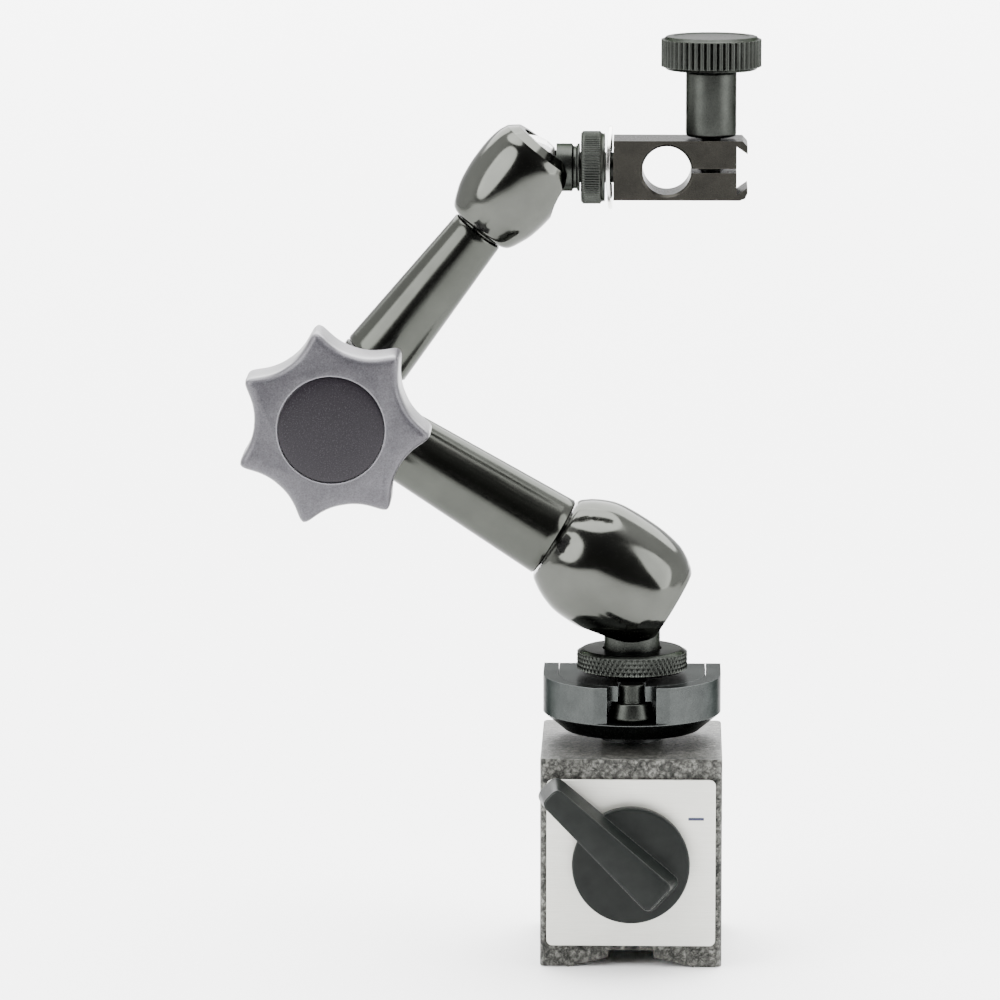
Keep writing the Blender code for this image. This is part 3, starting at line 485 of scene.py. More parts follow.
def silver_knob():
    """Silver metallic moulding: fine flakes and soft clouds."""
    s = Shader("knob_silver", 0.42, 0.55)
    flakes = s.noise((4.5, 4.5, 4.5), 3.0, 0.85)
    streaks = s.noise((0.3, 0.3, 0.3), 4.0, 0.6)
    tone = s.ramp(streaks, [(0.3, (0.040, 0.038, 0.044)), (0.7, (0.058, 0.056, 0.063))])
    fleck = s.ramp(flakes, [(0.35, 0.65), (0.65, 1.45)])
    # painted highlight: a bright silver colour on every convex edge, where the rounded rims catch the light
    painted_highlight = s.edge_highlight_mask(0.5)
    s.colour(s.mix(s.mix(tone, fleck, 1.0, "MULTIPLY"), (0.24, 0.235, 0.255), painted_highlight))
    s.roughness(s.ramp(flakes, [(0.3, 0.34), (0.7, 0.5)]))
    s.bump(flakes, 0.008, 0.35)
    s.set(Coat_Weight=0.2, Coat_Roughness=0.2)
    return s.material


def graphite_cap():
    s = Shader("cap_graphite", 0.24, 0.2)
    s.set(Specular_IOR_Level=0.2)
    spin = s.waves("Z", 3.0, 0.4, rings=True)
    fine = s.noise((6.0, 6.0, 6.0), 3.0)
    s.colour(s.ramp(fine, [(0.3, (0.007, 0.006, 0.008)), (0.7, (0.014, 0.012, 0.015))]))
    s.roughness(s.ramp(fine, [(0.3, 0.2), (0.7, 0.3)]))
    s.bump(spin, 0.004, 0.3)
    return s.material


def plain_metal(name, tone, roughness, turning=None):
    s = Shader(name, roughness, 1.0)
    fine = s.noise((3.0, 3.0, 3.0), 4.0, 0.65)
    dark = tuple(c * 0.86 for c in tone)
    s.colour(s.ramp(fine, [(0.3, dark), (0.7, tone)]))
    s.roughness(s.ramp(fine, [(0.3, roughness * 0.8), (0.7, roughness * 1.25)]))
    if turning:
        s.bump(s.waves(turning, 6.0, 0.4), 0.006, 0.5)
    s.bump(fine, 0.005, 0.25)
    return s.material


def mark_ink():
    s = Shader("mark_ink", 0.5)
    fine = s.noise((9.0, 9.0, 9.0), 2.0)
    s.colour(s.ramp(fine, [(0.3, (0.006, 0.008, 0.035)), (0.7, (0.011, 0.014, 0.05))]))
    return s.material


# ---------------------------------------------------------------- magnetic base

EDGE = 1.0
FOOT_INNER = 10.3
VEE_INNER = 3.7
VEE_RISE = 1.6
CHANNEL_ROOF = 2.8
ROTOR_BORE_R = 11.0
GAP = 0.3
SCREW_HOLE_R = 2.75
SCREW_HOLE_DEPTH = 5.3
BASE_ROUNDING = 0.3
SOLE_DEPTH = 0.1
PLATE_CORNER = 1.0
PLATE_HOLE_R = 3.3
MARK_HALF_LENGTH = 1.3
MARK_HALF_WIDTH = 0.24
MARK_THICK = 0.03
MARK_RIGHT = 10.7
MARK_HEIGHT = 25.2
DIAL_R = 9.75
DIAL_DRAFT = 0.2
DIAL_THICK = 2.7
LEVER_ANGLE = 136.5
LEVER_SINK = 0.5
LEVER_FOOT = [(-7.9, -4.0), (19.4, -2.5), (19.4, 2.5), (-7.9, 4.0)]
LEVER_CROWN = [(-6.7, -3.0), (18.4, -1.9), (18.4, 1.9), (-6.7, 3.0)]
LEVER_FOOT_CORNER = 1.7
LEVER_CROWN_CORNER = 1.3
LEVER_MIDDLE = 5.6


def rounded_rectangle(half_x, half_y, radius, steps=6):
    points = []
    for corner, (sx, sy) in enumerate([(1, 1), (-1, 1), (-1, -1), (1, -1)]):
        centre = Vector((sx * (half_x - radius), sy * (half_y - radius)))
        for k in range(steps + 1):
            angle = math.radians(90.0 * (corner + k / steps))
            points.append((centre.x + radius * math.cos(angle), centre.y + radius * math.sin(angle)))
    return points


def make_base(paint, bare):
    """Painted block with its vee and channel underneath; the soles are ground bare."""
    block = extruded(rounded_rectangle(HALF_WIDTH, HALF_DEPTH, EDGE), 0.0, BASE_TOP)
    far = HALF_DEPTH + 5.0
    vee = [(-FOOT_INNER, -1.0), (FOOT_INNER, -1.0), (FOOT_INNER, 0.0), (VEE_INNER, VEE_RISE),
           (VEE_INNER, CHANNEL_ROOF), (-VEE_INNER, CHANNEL_ROOF), (-VEE_INNER, VEE_RISE), (-FOOT_INNER, 0.0)]
    body = carved(block, cuts=[along_y(extruded(vee, -far, far)),
                               along_y(pin(ROTOR_BORE_R, -far, far), (0.0, 0.0, ROTOR.z / MM)),
                               pin(SCREW_HOLE_R, BASE_TOP - SCREW_HOLE_DEPTH, BASE_TOP + 1.0)])
    piece = make_piece("painted_base", body, LAYOUT, paint, "base",
                       ("base_pole_left", "base_pole_right", "base_spacer_top", "base_spacer_bottom"),
                       BASE_ROUNDING)
    piece.data.materials.append(bare)
    for face in piece.data.polygons:
        if face.normal.z < -0.99 and face.center.z < SOLE_DEPTH * MM:
            face.material_index = 1


def make_plate(material, ink):
    low = low_mm("label_plate")
    high = high_mm("label_plate")
    centre = (low + high) / 2.0
    half_x = (high.x - low.x) / 2.0
    half_z = (high.z - low.z) / 2.0
    thick = high.y - low.y
    sheet = extruded(rounded_rectangle(half_x, half_z, PLATE_CORNER), -thick / 2.0, thick / 2.0)
    hole = moved(pin(PLATE_HOLE_R, -2.0, 2.0), Matrix.Translation((0.0, ROTOR.z / MM - centre.z, 0.0)))
    place = front_frame(centre * MM)
    make_piece("front_plate", carved(sheet, cuts=[hole]), place, material, "base",
               ("label_plate",), 0.12)
    mark = extruded(rounded_rectangle(MARK_HALF_LENGTH, MARK_HALF_WIDTH, 0.1, 3), 0.0, MARK_THICK)
    spot = Vector((ORIGIN.x + MARK_RIGHT, low.y - 0.005, MARK_HEIGHT)) * MM
    make_piece("position_mark", mark, front_frame(spot), ink, "base")


def between(first, second, share):
    """Outline part of the way from the first one to the second."""
    return [(x * (1.0 - share) + fx * share, y * (1.0 - share) + fy * share)
            for (x, y), (fx, fy) in zip(first, second)]


def make_switch(plastic):
    """Dial with a tapered lever across it, whose crown is smaller than its foot."""
    front_z = ORIGIN.y - low_mm("switch_lever").y
    back_z = ORIGIN.y - high_mm("switch_lever").y
    dial_z = back_z + DIAL_THICK
    rim = [(0.0, back_z), (DIAL_R - DIAL_DRAFT, back_z), (DIAL_R, dial_z), (0.0, dial_z)]
    foot = filleted(LEVER_FOOT, LEVER_FOOT_CORNER, 6, closed=True)
    crown = filleted(LEVER_CROWN, LEVER_CROWN_CORNER, 6, closed=True)
    inner = [(LEVER_MIDDLE + (x - LEVER_MIDDLE) * 0.985, y * 0.86) for x, y in crown]
    lever = loft([(foot, dial_z - LEVER_SINK), (between(crown, foot, 0.14), front_z - 0.75),
                  (between(crown, foot, 0.03), front_z - 0.18), (inner, front_z)])
    turn = Matrix.Rotation(math.radians(LEVER_ANGLE), 4, "Z")
    body = carved(turned(filleted(rim, 0.5)), joins=[moved(lever, turn)])
    make_piece("switch_handle", body, front_frame(ROTOR), plastic, "switch",
               ("switch_lever",), 0.18, 24.0)


# ---------------------------------------------------------------- fine adjuster

BODY_R = 14.8
BODY_LOW = 37.1
BODY_WALL_LOW = 40.0
BODY_FOOT_R = 11.3
BOSS_R = 5.2
MOON_R = 12.3
FRONT_FLAT = 13.4
LEDGE_HEIGHT = 40.1
PIVOT_Y = 2.2
PIVOT_Z = 43.0
PIVOT_R = 1.3
PIVOT_REACH = 13.9
MOON_FLOOR = 42.9
TRENCH_HALF = 11.3
TRENCH_FRONT = -3.9
TRENCH_FLOOR = 40.5
PILLAR_POCKET_HALF = 4.1
PILLAR_POCKET_BACK = -5.7
MOUNT_HOLE_R = 4.3
MOUNT_HOLE_LOW = 38.3
PLATE_LOW = 43.7
PLATE_SIDE_GAP = 0.1
RIB_HALF = 11.0
RIB_FRONT = -3.5
RIB_LOW = 40.9
RIB_TOP = 44.5
NOTCH_HALF = 2.3
NOTCH_BACK = -7.7
POST_FOOT_HOLE_R = 2.6
POST_R = 4.65
POST_LOW = 46.5
POST_FOOT_R = 2.3
POST_NECK_R = 2.4
POST_NECK_DROP = 6.3
PILLAR_SKIRT = [(3.4, 0.0), (3.75, 0.4)]
PILLAR_SKIRT_TOP = (3.2, 43.3)
PILLAR_STEM_R = 2.05
WHEEL_BORE_R = 4.95
WHEEL_TEETH = 62
WHEEL_TOOTH_DEPTH = 0.28
WHEEL_STEPS_PER_TOOTH = 8
WHEEL_ROWS = 34
WHEEL_LOW_EDGE = 0.4
WHEEL_HIGH_EDGE = 0.5
WHEEL_SLANT = 1.55
WHEEL_RELIEF = 0.06


def half_round(radius, back, steps=64):
    angles = [math.pi + math.pi * k / steps for k in range(steps + 1)]
    front = [(radius * math.cos(a), radius * math.sin(a)) for a in angles]
    return front + [(radius, back), (-radius, back)]


def make_adjuster_body(oxide):
    top = high_mm("adjuster_body").z
    back = high_mm("adjuster_body").y - ORIGIN.y
    far = 20.0
    above = top + 2.0
    walls = half_round(BODY_R, back)
    foot = half_round(BODY_FOOT_R, back)
    cuts = [extruded(half_round(MOON_R, far), MOON_FLOOR, above),
            box((-TRENCH_HALF, TRENCH_FRONT, TRENCH_FLOOR), (TRENCH_HALF, far, above)),
            box((-far, -far, LEDGE_HEIGHT), (far, -FRONT_FLAT, above)),
            box((-PILLAR_POCKET_HALF, -far, LEDGE_HEIGHT), (PILLAR_POCKET_HALF, PILLAR_POCKET_BACK, above)),
            along_x(pin(PIVOT_R, -PIVOT_REACH, PIVOT_REACH), (0.0, PIVOT_Y, PIVOT_Z)),
            pin(MOUNT_HOLE_R, MOUNT_HOLE_LOW, above)]
    body = carved(loft([(foot, BODY_LOW), (walls, BODY_WALL_LOW), (walls, top)]),
                  joins=[pin(BOSS_R, BASE_TOP + GAP, BODY_LOW + 1.0)], cuts=cuts)
    make_piece("adjuster_half_round", body, LAYOUT, oxide, "base",
               ("adjuster_body",), 0.2)


def make_tilt_plate(oxide):
    top = high_mm("tilt_plate").z
    back = high_mm("tilt_plate").y - ORIGIN.y
    far = 20.0
    above = top + far
    plate = carved(extruded(half_round(MOON_R - PLATE_SIDE_GAP, back), PLATE_LOW, top),
                   joins=[box((-RIB_HALF, RIB_FRONT, RIB_LOW), (RIB_HALF, back - 0.4, RIB_TOP))],
                   cuts=[box((-NOTCH_HALF, -far, 40.0), (NOTCH_HALF, NOTCH_BACK, above)),
                         along_x(pin(PIVOT_R, -far, far), (0.0, PIVOT_Y, PIVOT_Z)),
                         pin(POST_FOOT_HOLE_R, RIB_TOP, above)])
    make_piece("half_moon_plate", plate, LAYOUT, oxide, "tilt", ("tilt_plate",), 0.15)


def make_pillar(oxide):
    low = low_mm("adjuster_pillar")
    high = high_mm("adjuster_pillar")
    centre = (low + high) / 2.0
    foot = low.z
    top = high.z - 0.05
    profile = [(0.0, foot)] + [(radius, foot + rise) for radius, rise in PILLAR_SKIRT]
    profile += [PILLAR_SKIRT_TOP, (PILLAR_STEM_R, PILLAR_SKIRT_TOP[1]), (PILLAR_STEM_R, top), (0.0, top)]
    place = Matrix.Translation(Vector((centre.x, centre.y, 0.0)) * MM)
    make_piece("skirted_pillar", turned(filleted(profile, 0.2)), place, oxide, "base",
               ("adjuster_pillar",))


def make_post(oxide):
    low = low_mm("lower_post")
    high = high_mm("lower_post")
    shoulder = LOWER_BALL.z / MM - POST_NECK_DROP
    profile = [(0.0, low.z), (POST_FOOT_R, low.z), (POST_FOOT_R, POST_LOW), (POST_R, POST_LOW),
               (POST_R, shoulder - 0.4), (POST_R - 0.45, shoulder), (POST_NECK_R, shoulder),
               (POST_NECK_R, high.z), (0.0, high.z)]
    make_piece("arm_post", turned(filleted(profile, 0.15)), LAYOUT, oxide, "tilt",
               ("lower_post",))


def triangle(value):
    """1 in the middle of each unit cell, 0 at its edges."""
    return 1.0 - abs(2.0 * (value - math.floor(value)) - 1.0)


def make_wheel(oxide):
    """Diamond-knurled wheel round the post."""
    low = low_mm("adjuster_wheel")
    high = high_mm("adjuster_wheel") - Vector((0.0, 0.0, WHEEL_RELIEF))
    outer = (high.x - low.x) / 2.0
    low_knurl = low.z + WHEEL_LOW_EDGE
    high_knurl = high.z - WHEEL_HIGH_EDGE
    pitch = 2.0 * math.pi * outer / WHEEL_TEETH

    def radius_at(radius, height, angle):
        if radius < outer - TINY or height < low_knurl or height > high_knurl:
            return radius
        around = angle * WHEEL_TEETH / (2.0 * math.pi)
        climb = (height - low_knurl) / (pitch * WHEEL_SLANT)
        first = triangle(around + climb)
        second = triangle(around - climb)
        return radius - WHEEL_TOOTH_DEPTH * (1.0 - min(1.0, 1.25 * min(first, second)))

    knurl = [(outer, low_knurl + (high_knurl - low_knurl) * k / WHEEL_ROWS) for k in range(WHEEL_ROWS + 1)]
    lower = filleted([(WHEEL_BORE_R, low.z), (8.5, low.z), (outer - 0.3, low_knurl - 0.1),
                      (outer - 0.3, low_knurl)], 0.2)
    upper = filleted([(outer - 0.3, high_knurl), (outer - 0.35, high_knurl + 0.1), (8.3, high.z),
                      (WHEEL_BORE_R, high.z)], 0.25)
    wheel = surface(radius_at, lower + knurl + upper, WHEEL_TEETH * WHEEL_STEPS_PER_TOOTH)
    make_piece("knurled_wheel", wheel, LAYOUT, oxide, "wheel", ("adjuster_wheel",),
               sharp=70.0)


# ---------------------------------------------------------------- arms

LOWER_ARM = {
    "prefix": "lower",
    "ball_r": 7.2,
    "neck_r": 4.65,
    "bell": [(-14.95, 7.4), (-12.65, 9.0), (-9.45, 10.3), (-5.95, 10.65), (-0.95, 10.5), (3.05, 9.75),
             (5.2, 8.75), (6.75, 7.6)],
    "mouth": (7.35, 6.9),
    "cavity_back": -9.9,
    "rear_bore_r": 5.2,
    "tube_bell_r": 6.95,
    "tube_elbow_r": 5.75,
    "tube_bore_r": 3.5,
    "side": -1,
    "hub_bore_r": 4.6,
}
UPPER_ARM = {
    "prefix": "upper",
    "ball_r": 5.4,
    "neck_r": 3.95,
    "bell": [(-13.05, 5.0), (-12.35, 5.9), (-10.45, 6.8), (-8.35, 7.5), (-4.95, 8.0), (-1.15, 8.05),
             (1.55, 7.7), (3.35, 7.0)],
    "mouth": (4.55, 5.6),
    "cavity_back": -8.0,
    "rear_bore_r": 3.9,
    "tube_bell_r": 4.5,
    "tube_elbow_r": 5.8,
    "tube_bore_r": 2.9,
    "side": 1,
    "hub_bore_r": 2.7,
}
LUG_R = 8.8
LUG_INNER = 1.7
LUG_OUTER = 6.6
COLLAR_START = 9.15
COLLAR_END = 9.65
SPIGOT_END = 17.0
NECK_ROOM = 0.35
ROD_HOLE_R = 1.5
BOLT_HEAD_POCKET_R = 3.8
BOLT_HEAD_POCKET = 3.6
BRIDGE_HALF = 4.4
BRIDGE_INSET = 0.2
BRIDGE_START = 2.0


def slot_tool(half, reach, steps=24):
    """Swept space of a round neck that swings from +z to +x about the ball's centre."""
    bm = bmesh.new()
    for k in range(steps + 1):
        angle = math.pi * (k / steps - 0.5)
        y = half * math.sin(angle)
        side = half * math.cos(angle)
        for x in (-side, reach):
            for z in (-side, reach):
                bm.verts.new((x, y, z))
    hull = bmesh.ops.convex_hull(bm, input=bm.verts)
    bmesh.ops.delete(bm, geom=hull["geom_interior"], context="VERTS")
    return bm


def make_bell(arm, place, material, body):
    slot_half = arm["neck_r"] + NECK_ROOM
    cavity_r = arm["ball_r"] + GAP
    back = arm["bell"][0][0]
    mouth_z, mouth_r = arm["mouth"]
    outer = [(radius, z) for z, radius in smooth_curve(arm["bell"], 7)]
    outer = [(outer[0][0] - 0.25, back)] + outer[1:] + [(mouth_r, mouth_z)]
    lip = math.asin(slot_half / cavity_r)
    inner = [(slot_half, mouth_z)]
    for k in range(9):
        angle = lip + (math.pi / 2.0 - lip) * k / 8
        inner.append((cavity_r * math.sin(angle), cavity_r * math.cos(angle)))
    inner += [(cavity_r, arm["cavity_back"]), (arm["rear_bore_r"], arm["cavity_back"]),
              (arm["rear_bore_r"], back)]
    bell = carved(turned(outer + inner, 128), cuts=[slot_tool(slot_half, 16.0)])
    prefix = arm["prefix"]
    make_piece(prefix + "_barrel", bell, place, material, body, (prefix + "_bell",),
               0.3, 24.0)


def make_tube(arm, place, length, material, body):
    back = arm["bell"][0][0]
    start = back - GAP
    end = COLLAR_END + GAP - length
    spigot_r = arm["rear_bore_r"] - GAP
    bore = arm["tube_bore_r"]
    spigot_top = arm["cavity_back"] - 0.6
    bell_r = arm["tube_bell_r"]
    elbow_r = arm["tube_elbow_r"]
    steps = 24
    side = [(elbow_r + (bell_r - elbow_r) * k / steps, end + 0.35 + (start - end - 0.6) * k / steps)
            for k in range(steps + 1)]
    profile = [(bore, end), (elbow_r - 0.3, end)] + side
    profile += [(bell_r - 0.25, start), (spigot_r, start), (spigot_r, spigot_top), (bore, spigot_top)]
    prefix = arm["prefix"]
    make_piece(prefix + "_arm_tube", turned(profile, 128), place, material, body,
               (prefix + "_tube",), sharp=50.0)


def make_lug(arm, place, length, material, body):
    side = arm["side"]
    near, far = sorted((side * LUG_INNER, side * LUG_OUTER))
    disc = along_y(pin(LUG_R, -far, -near), (0.0, 0.0, -length))
    spigot_r = arm["tube_bore_r"] - GAP
    root = COLLAR_START - length
    collar = turned([(0.0, root), (arm["tube_elbow_r"], root), (arm["tube_elbow_r"], COLLAR_END - length),
                     (spigot_r, COLLAR_END - length), (spigot_r, SPIGOT_END - length),
                     (0.0, SPIGOT_END - length)])
    cuts = [along_y(pin(arm["hub_bore_r"], -10.0, 10.0), (0.0, 0.0, -length)),
            pin(ROD_HOLE_R, -length, SPIGOT_END + 1.0 - length, 48)]
    if side > 0:
        cuts.append(along_y(pin(BOLT_HEAD_POCKET_R, -BOLT_HEAD_POCKET, 0.0), (0.0, 0.0, -length)))
    bridge_block = box((-BRIDGE_HALF, near + BRIDGE_INSET, BRIDGE_START - length),
                       (BRIDGE_HALF, far - BRIDGE_INSET, root + 0.25))
    lug = carved(disc, joins=[bridge_block, collar], cuts=cuts)
    prefix = arm["prefix"]
    make_piece(prefix + "_lug", lug, place, material, body, (prefix + "_elbow_lug",), 0.3)


def make_arm(arm, place, length, bell_finish, tube_finish, body):
    make_bell(arm, place, bell_finish, body)
    make_tube(arm, place, length, tube_finish, body)
    make_lug(arm, place, length, tube_finish, body)


# ---------------------------------------------------------------- elbow lock

KNOB_TIP_R = 16.0
KNOB_NOTCH_R = 12.5
KNOB_LOBES = 7
KNOB_FIRST_TIP = 99.0
KNOB_TIP_HALF = 0.07
KNOB_TIP_EDGE = 0.35
KNOB_TIP_SHARPNESS = 20.0
KNOB_TIP_PEAK = 0.012
KNOB_BOSS_LENGTH = 7.4
KNOB_BOSS_R = 6.4
KNOB_BORE_R = 4.8
KNOB_BORE_END = 22.0
CAP_R = 8.6
CAP_POCKET = 0.8
CAP_DOME = 0.35


def star_radius(angle, inset):
    """Outline of the star pulled in by an inset: round hollows between narrow rounded tips."""
    step = 2.0 * math.pi / KNOB_LOBES
    from_hollow = (angle - math.radians(KNOB_FIRST_TIP)) % step - step / 2.0
    edge_r = KNOB_TIP_R - KNOB_TIP_EDGE
    reach = step / 2.0 - KNOB_TIP_HALF
    hollow_at = (KNOB_NOTCH_R ** 2 - edge_r ** 2) / (2.0 * KNOB_NOTCH_R - 2.0 * edge_r * math.cos(reach))
    hollow_r = hollow_at - KNOB_NOTCH_R + inset
    across = hollow_at * math.sin(abs(from_hollow))
    along = hollow_at * math.cos(from_hollow)
    if across >= hollow_r:
        hollow = KNOB_TIP_R * 2.0
    else:
        hollow = along - math.sqrt(hollow_r ** 2 - across ** 2)
    tip_round = KNOB_TIP_R - inset
    power = -KNOB_TIP_SHARPNESS
    blended = (hollow ** power + tip_round ** power) ** (1.0 / power)
    return blended * (1.0 + KNOB_TIP_PEAK * (1.0 - abs(from_hollow) / (step / 2.0)))


def star_outline(inset, count=448):
    return [(star_radius(a, inset) * math.cos(a), star_radius(a, inset) * math.sin(a))
            for a in circle_angles(count)]


def make_knob(silver, graphite, brass):
    place = front_frame(ELBOW)
    knob_low = low_mm("locking_knob")
    knob_high = high_mm("locking_knob")
    elbow_y = ELBOW.y / MM
    front = elbow_y - knob_low.y
    boss_back = elbow_y - knob_high.y
    back = boss_back + KNOB_BOSS_LENGTH
    layers = [(1.6, back), (0.75, back + 0.2), (0.25, back + 0.6), (0.05, back + 1.1)]
    layers += [(0.0, back + 2.0), (0.0, front - 3.0), (0.08, front - 1.1), (0.22, front - 0.65)]
    layers += [(0.45, front - 0.32), (0.8, front - 0.1), (1.2, front)]
    star = loft([(star_outline(inset), z) for inset, z in layers])
    boss = turned(filleted([(0.0, boss_back), (KNOB_BOSS_R - 0.4, boss_back), (KNOB_BOSS_R, boss_back + 0.5),
                            (KNOB_BOSS_R + 0.3, back + 1.0), (0.0, back + 1.0)], 0.3))
    knob = carved(star, joins=[boss], cuts=[pin(KNOB_BORE_R, 0.0, KNOB_BORE_END),
                                            pin(CAP_R + 0.15, front - CAP_POCKET, front + 1.0)])
    make_piece("star_knob", knob, place, silver, "knob", ("locking_knob",), 0.12, 35.0)
    cap_low = front - 0.5
    cap_top = elbow_y - low_mm("knob_cap").y
    crown = [(CAP_R * math.sin(a), cap_top - CAP_DOME + CAP_DOME * math.cos(a))
             for a in [math.pi / 2.0 * k / 10 for k in range(11)]]
    profile = [(0.0, cap_low), (CAP_R, cap_low)] + crown[:0:-1] + [(0.0, cap_top)]
    make_piece("knob_disc", turned(profile), place, graphite, "knob", ("knob_cap",))


BOLT_HEAD_R = 5.0
BOLT_HEAD_THICK = 2.4
BOLT_R = 2.4
BOLT_END = 20.5
BOLT_HEX_R = 2.3
WASHER_INNER_R = 2.7
WASHER_OUTER_R = 6.4
WASHER_FRONT = -6.9
WASHER_BACK = -7.5


def hexagon(radius):
    return [(radius * math.cos(a), radius * math.sin(a)) for a in circle_angles(6)]


def make_elbow_bolt(steel):
    place = front_frame(ELBOW)
    head_in = -LUG_OUTER - 1.2
    head_out = head_in - BOLT_HEAD_THICK
    profile = filleted([(0.0, head_out), (BOLT_HEAD_R - 0.4, head_out), (BOLT_HEAD_R, head_out + 0.4),
                        (BOLT_HEAD_R, head_in), (BOLT_R, head_in), (BOLT_R, BOLT_END - 0.5),
                        (BOLT_R - 0.4, BOLT_END), (0.0, BOLT_END)], 0.2)
    bolt = carved(turned(profile), cuts=[extruded(hexagon(BOLT_HEX_R), head_in - 4.0, head_in - 0.9)])
    make_piece("hinge_bolt", bolt, place, steel, "lower_arm", ("elbow_bolt",), 0.1)
    rim = filleted([(WASHER_INNER_R, WASHER_BACK), (WASHER_OUTER_R, WASHER_BACK),
                    (WASHER_OUTER_R, WASHER_FRONT), (WASHER_INNER_R, WASHER_FRONT)], 0.15, 3, closed=True)
    make_piece("hinge_washer", turned(rim), place, steel, "lower_arm", ("elbow_washer",))


# ---------------------------------------------------------------- clamp end
# Distances along the stud are counted from the upper ball's centre

NECK_R = 3.95
STUD_R = 2.5
STUD_END = 18.0
STUD_TIP_R = 1.9
STUD_TIP = 1.1
NECK_START = 4.6
NECK_GROOVE = (7.2, 8.1)
NECK_END = 8.45
KEEPER_GROOVE = (15.5, 17.5)
KEEPER_GROOVE_R = 1.5
COLLAR_R = 6.0
COLLAR_BORE_R = 2.8
COLLAR_LOW = 8.65
COLLAR_HIGH = 12.6
COLLAR_KNURL = (8.95, 11.85)
COLLAR_TEETH = 84
COLLAR_TOOTH_DEPTH = 0.14
COLLAR_RIM_R = 5.65
COLLAR_LIP_R = 5.6
SPRING = (13.0, 13.6)
SPRING_INNER_R = 2.9
SPRING_OUTER_R = 6.85
SPRING_WAVE = 0.22
BLOCK_START = 14.0
BLOCK_END = 36.0
BLOCK_HALF_HIGH = 4.9
BLOCK_HALF_DEEP = 5.2
DOVETAIL_FLOOR = 34.2
DOVETAIL_INNER = 4.0
DOVETAIL_MOUTH = 2.75
BORE_AT = 22.75
BORE_R = 4.0
BORE_CHAMFER = 0.4
SAW_CUT_HALF = 0.35
SCREW_AT = 30.0
SCREW_CLEARANCE_R = 2.1
STUD_HOLE_R = 2.8
STUD_HOLE_END = 18.3
KEEPER_AT = 16.5
KEEPER_DROP = 2.5
KEEPER_R = 1.0
SCREW_HEAD_LOW = 147.1
SCREW_SHANK_LOW = 136.1
SCREW_SHANK_R = 4.17
SCREW_THREAD_R = 1.8
SCREW_PITCH = 0.7
SCREW_THREAD_DEPTH = 0.28
SCREW_TEETH = 48
SCREW_TOOTH_DEPTH = 0.42
SCREW_LOW_EDGE = 0.55
SCREW_HIGH_EDGE = 0.5

def straight_knurl(outer, teeth, depth, low, high):
    """Radius function for ridges along the axis between two heights."""
    def radius_at(radius, height, angle):
        if radius < outer - TINY or height < low or height > high:
            return radius
        return radius - depth * (1.0 - min(1.0, 1.5 * triangle(angle * teeth / (2.0 * math.pi))))
    return radius_at


def make_stud(place, oxide):
    groove_start, groove_end = NECK_GROOVE
    keeper_start, keeper_end = KEEPER_GROOVE
    profile = [(0.0, STUD_TIP), (STUD_TIP_R, STUD_TIP), (STUD_TIP_R, NECK_START), (NECK_R, NECK_START),
               (NECK_R, groove_start), (NECK_R - 0.45, groove_start + 0.2), (NECK_R - 0.45, groove_end - 0.2),
               (NECK_R, groove_end), (NECK_R, NECK_END), (STUD_R, NECK_END), (STUD_R, keeper_start),
               (KEEPER_GROOVE_R, keeper_start), (KEEPER_GROOVE_R, keeper_end), (STUD_R, keeper_end),
               (STUD_R, STUD_END), (0.0, STUD_END)]
    make_piece("clamp_stud", turned(filleted(profile, 0.12, 3)), place, oxide, "stud",
               ("upper_stud",))


def make_collar(place, oxide):
    low, high = COLLAR_KNURL
    knurl = straight_knurl(COLLAR_R, COLLAR_TEETH, COLLAR_TOOTH_DEPTH, low, high)
    sides = [(COLLAR_R, low + (high - low) * k / 6) for k in range(7)]
    start = filleted([(COLLAR_BORE_R, COLLAR_LOW), (COLLAR_RIM_R, COLLAR_LOW), (COLLAR_R - 0.15, low - 0.05)],
                     0.15)
    finish = filleted([(COLLAR_R - 0.15, high + 0.05), (COLLAR_LIP_R, high + 0.35),
                       (COLLAR_LIP_R, COLLAR_HIGH), (COLLAR_BORE_R, COLLAR_HIGH)], 0.12)
    collar = surface(knurl, start + sides + finish, COLLAR_TEETH * 8)
    make_piece("knurled_collar", collar, place, oxide, "collar", ("preload_collar",),
               sharp=70.0)


def make_spring_washer(place, bright):
    low, high = SPRING
    rim = filleted([(SPRING_INNER_R, low), (SPRING_OUTER_R, low), (SPRING_OUTER_R, high),
                    (SPRING_INNER_R, high)], 0.14, 3, closed=True)
    bm = turned(rim)
    for vert in bm.verts:
        turn = math.atan2(vert.co.y, vert.co.x)
        vert.co.z += SPRING_WAVE * math.cos(2.0 * turn)
    make_piece("wave_washer", bm, place, bright, "clamp", ("spring_washer",))


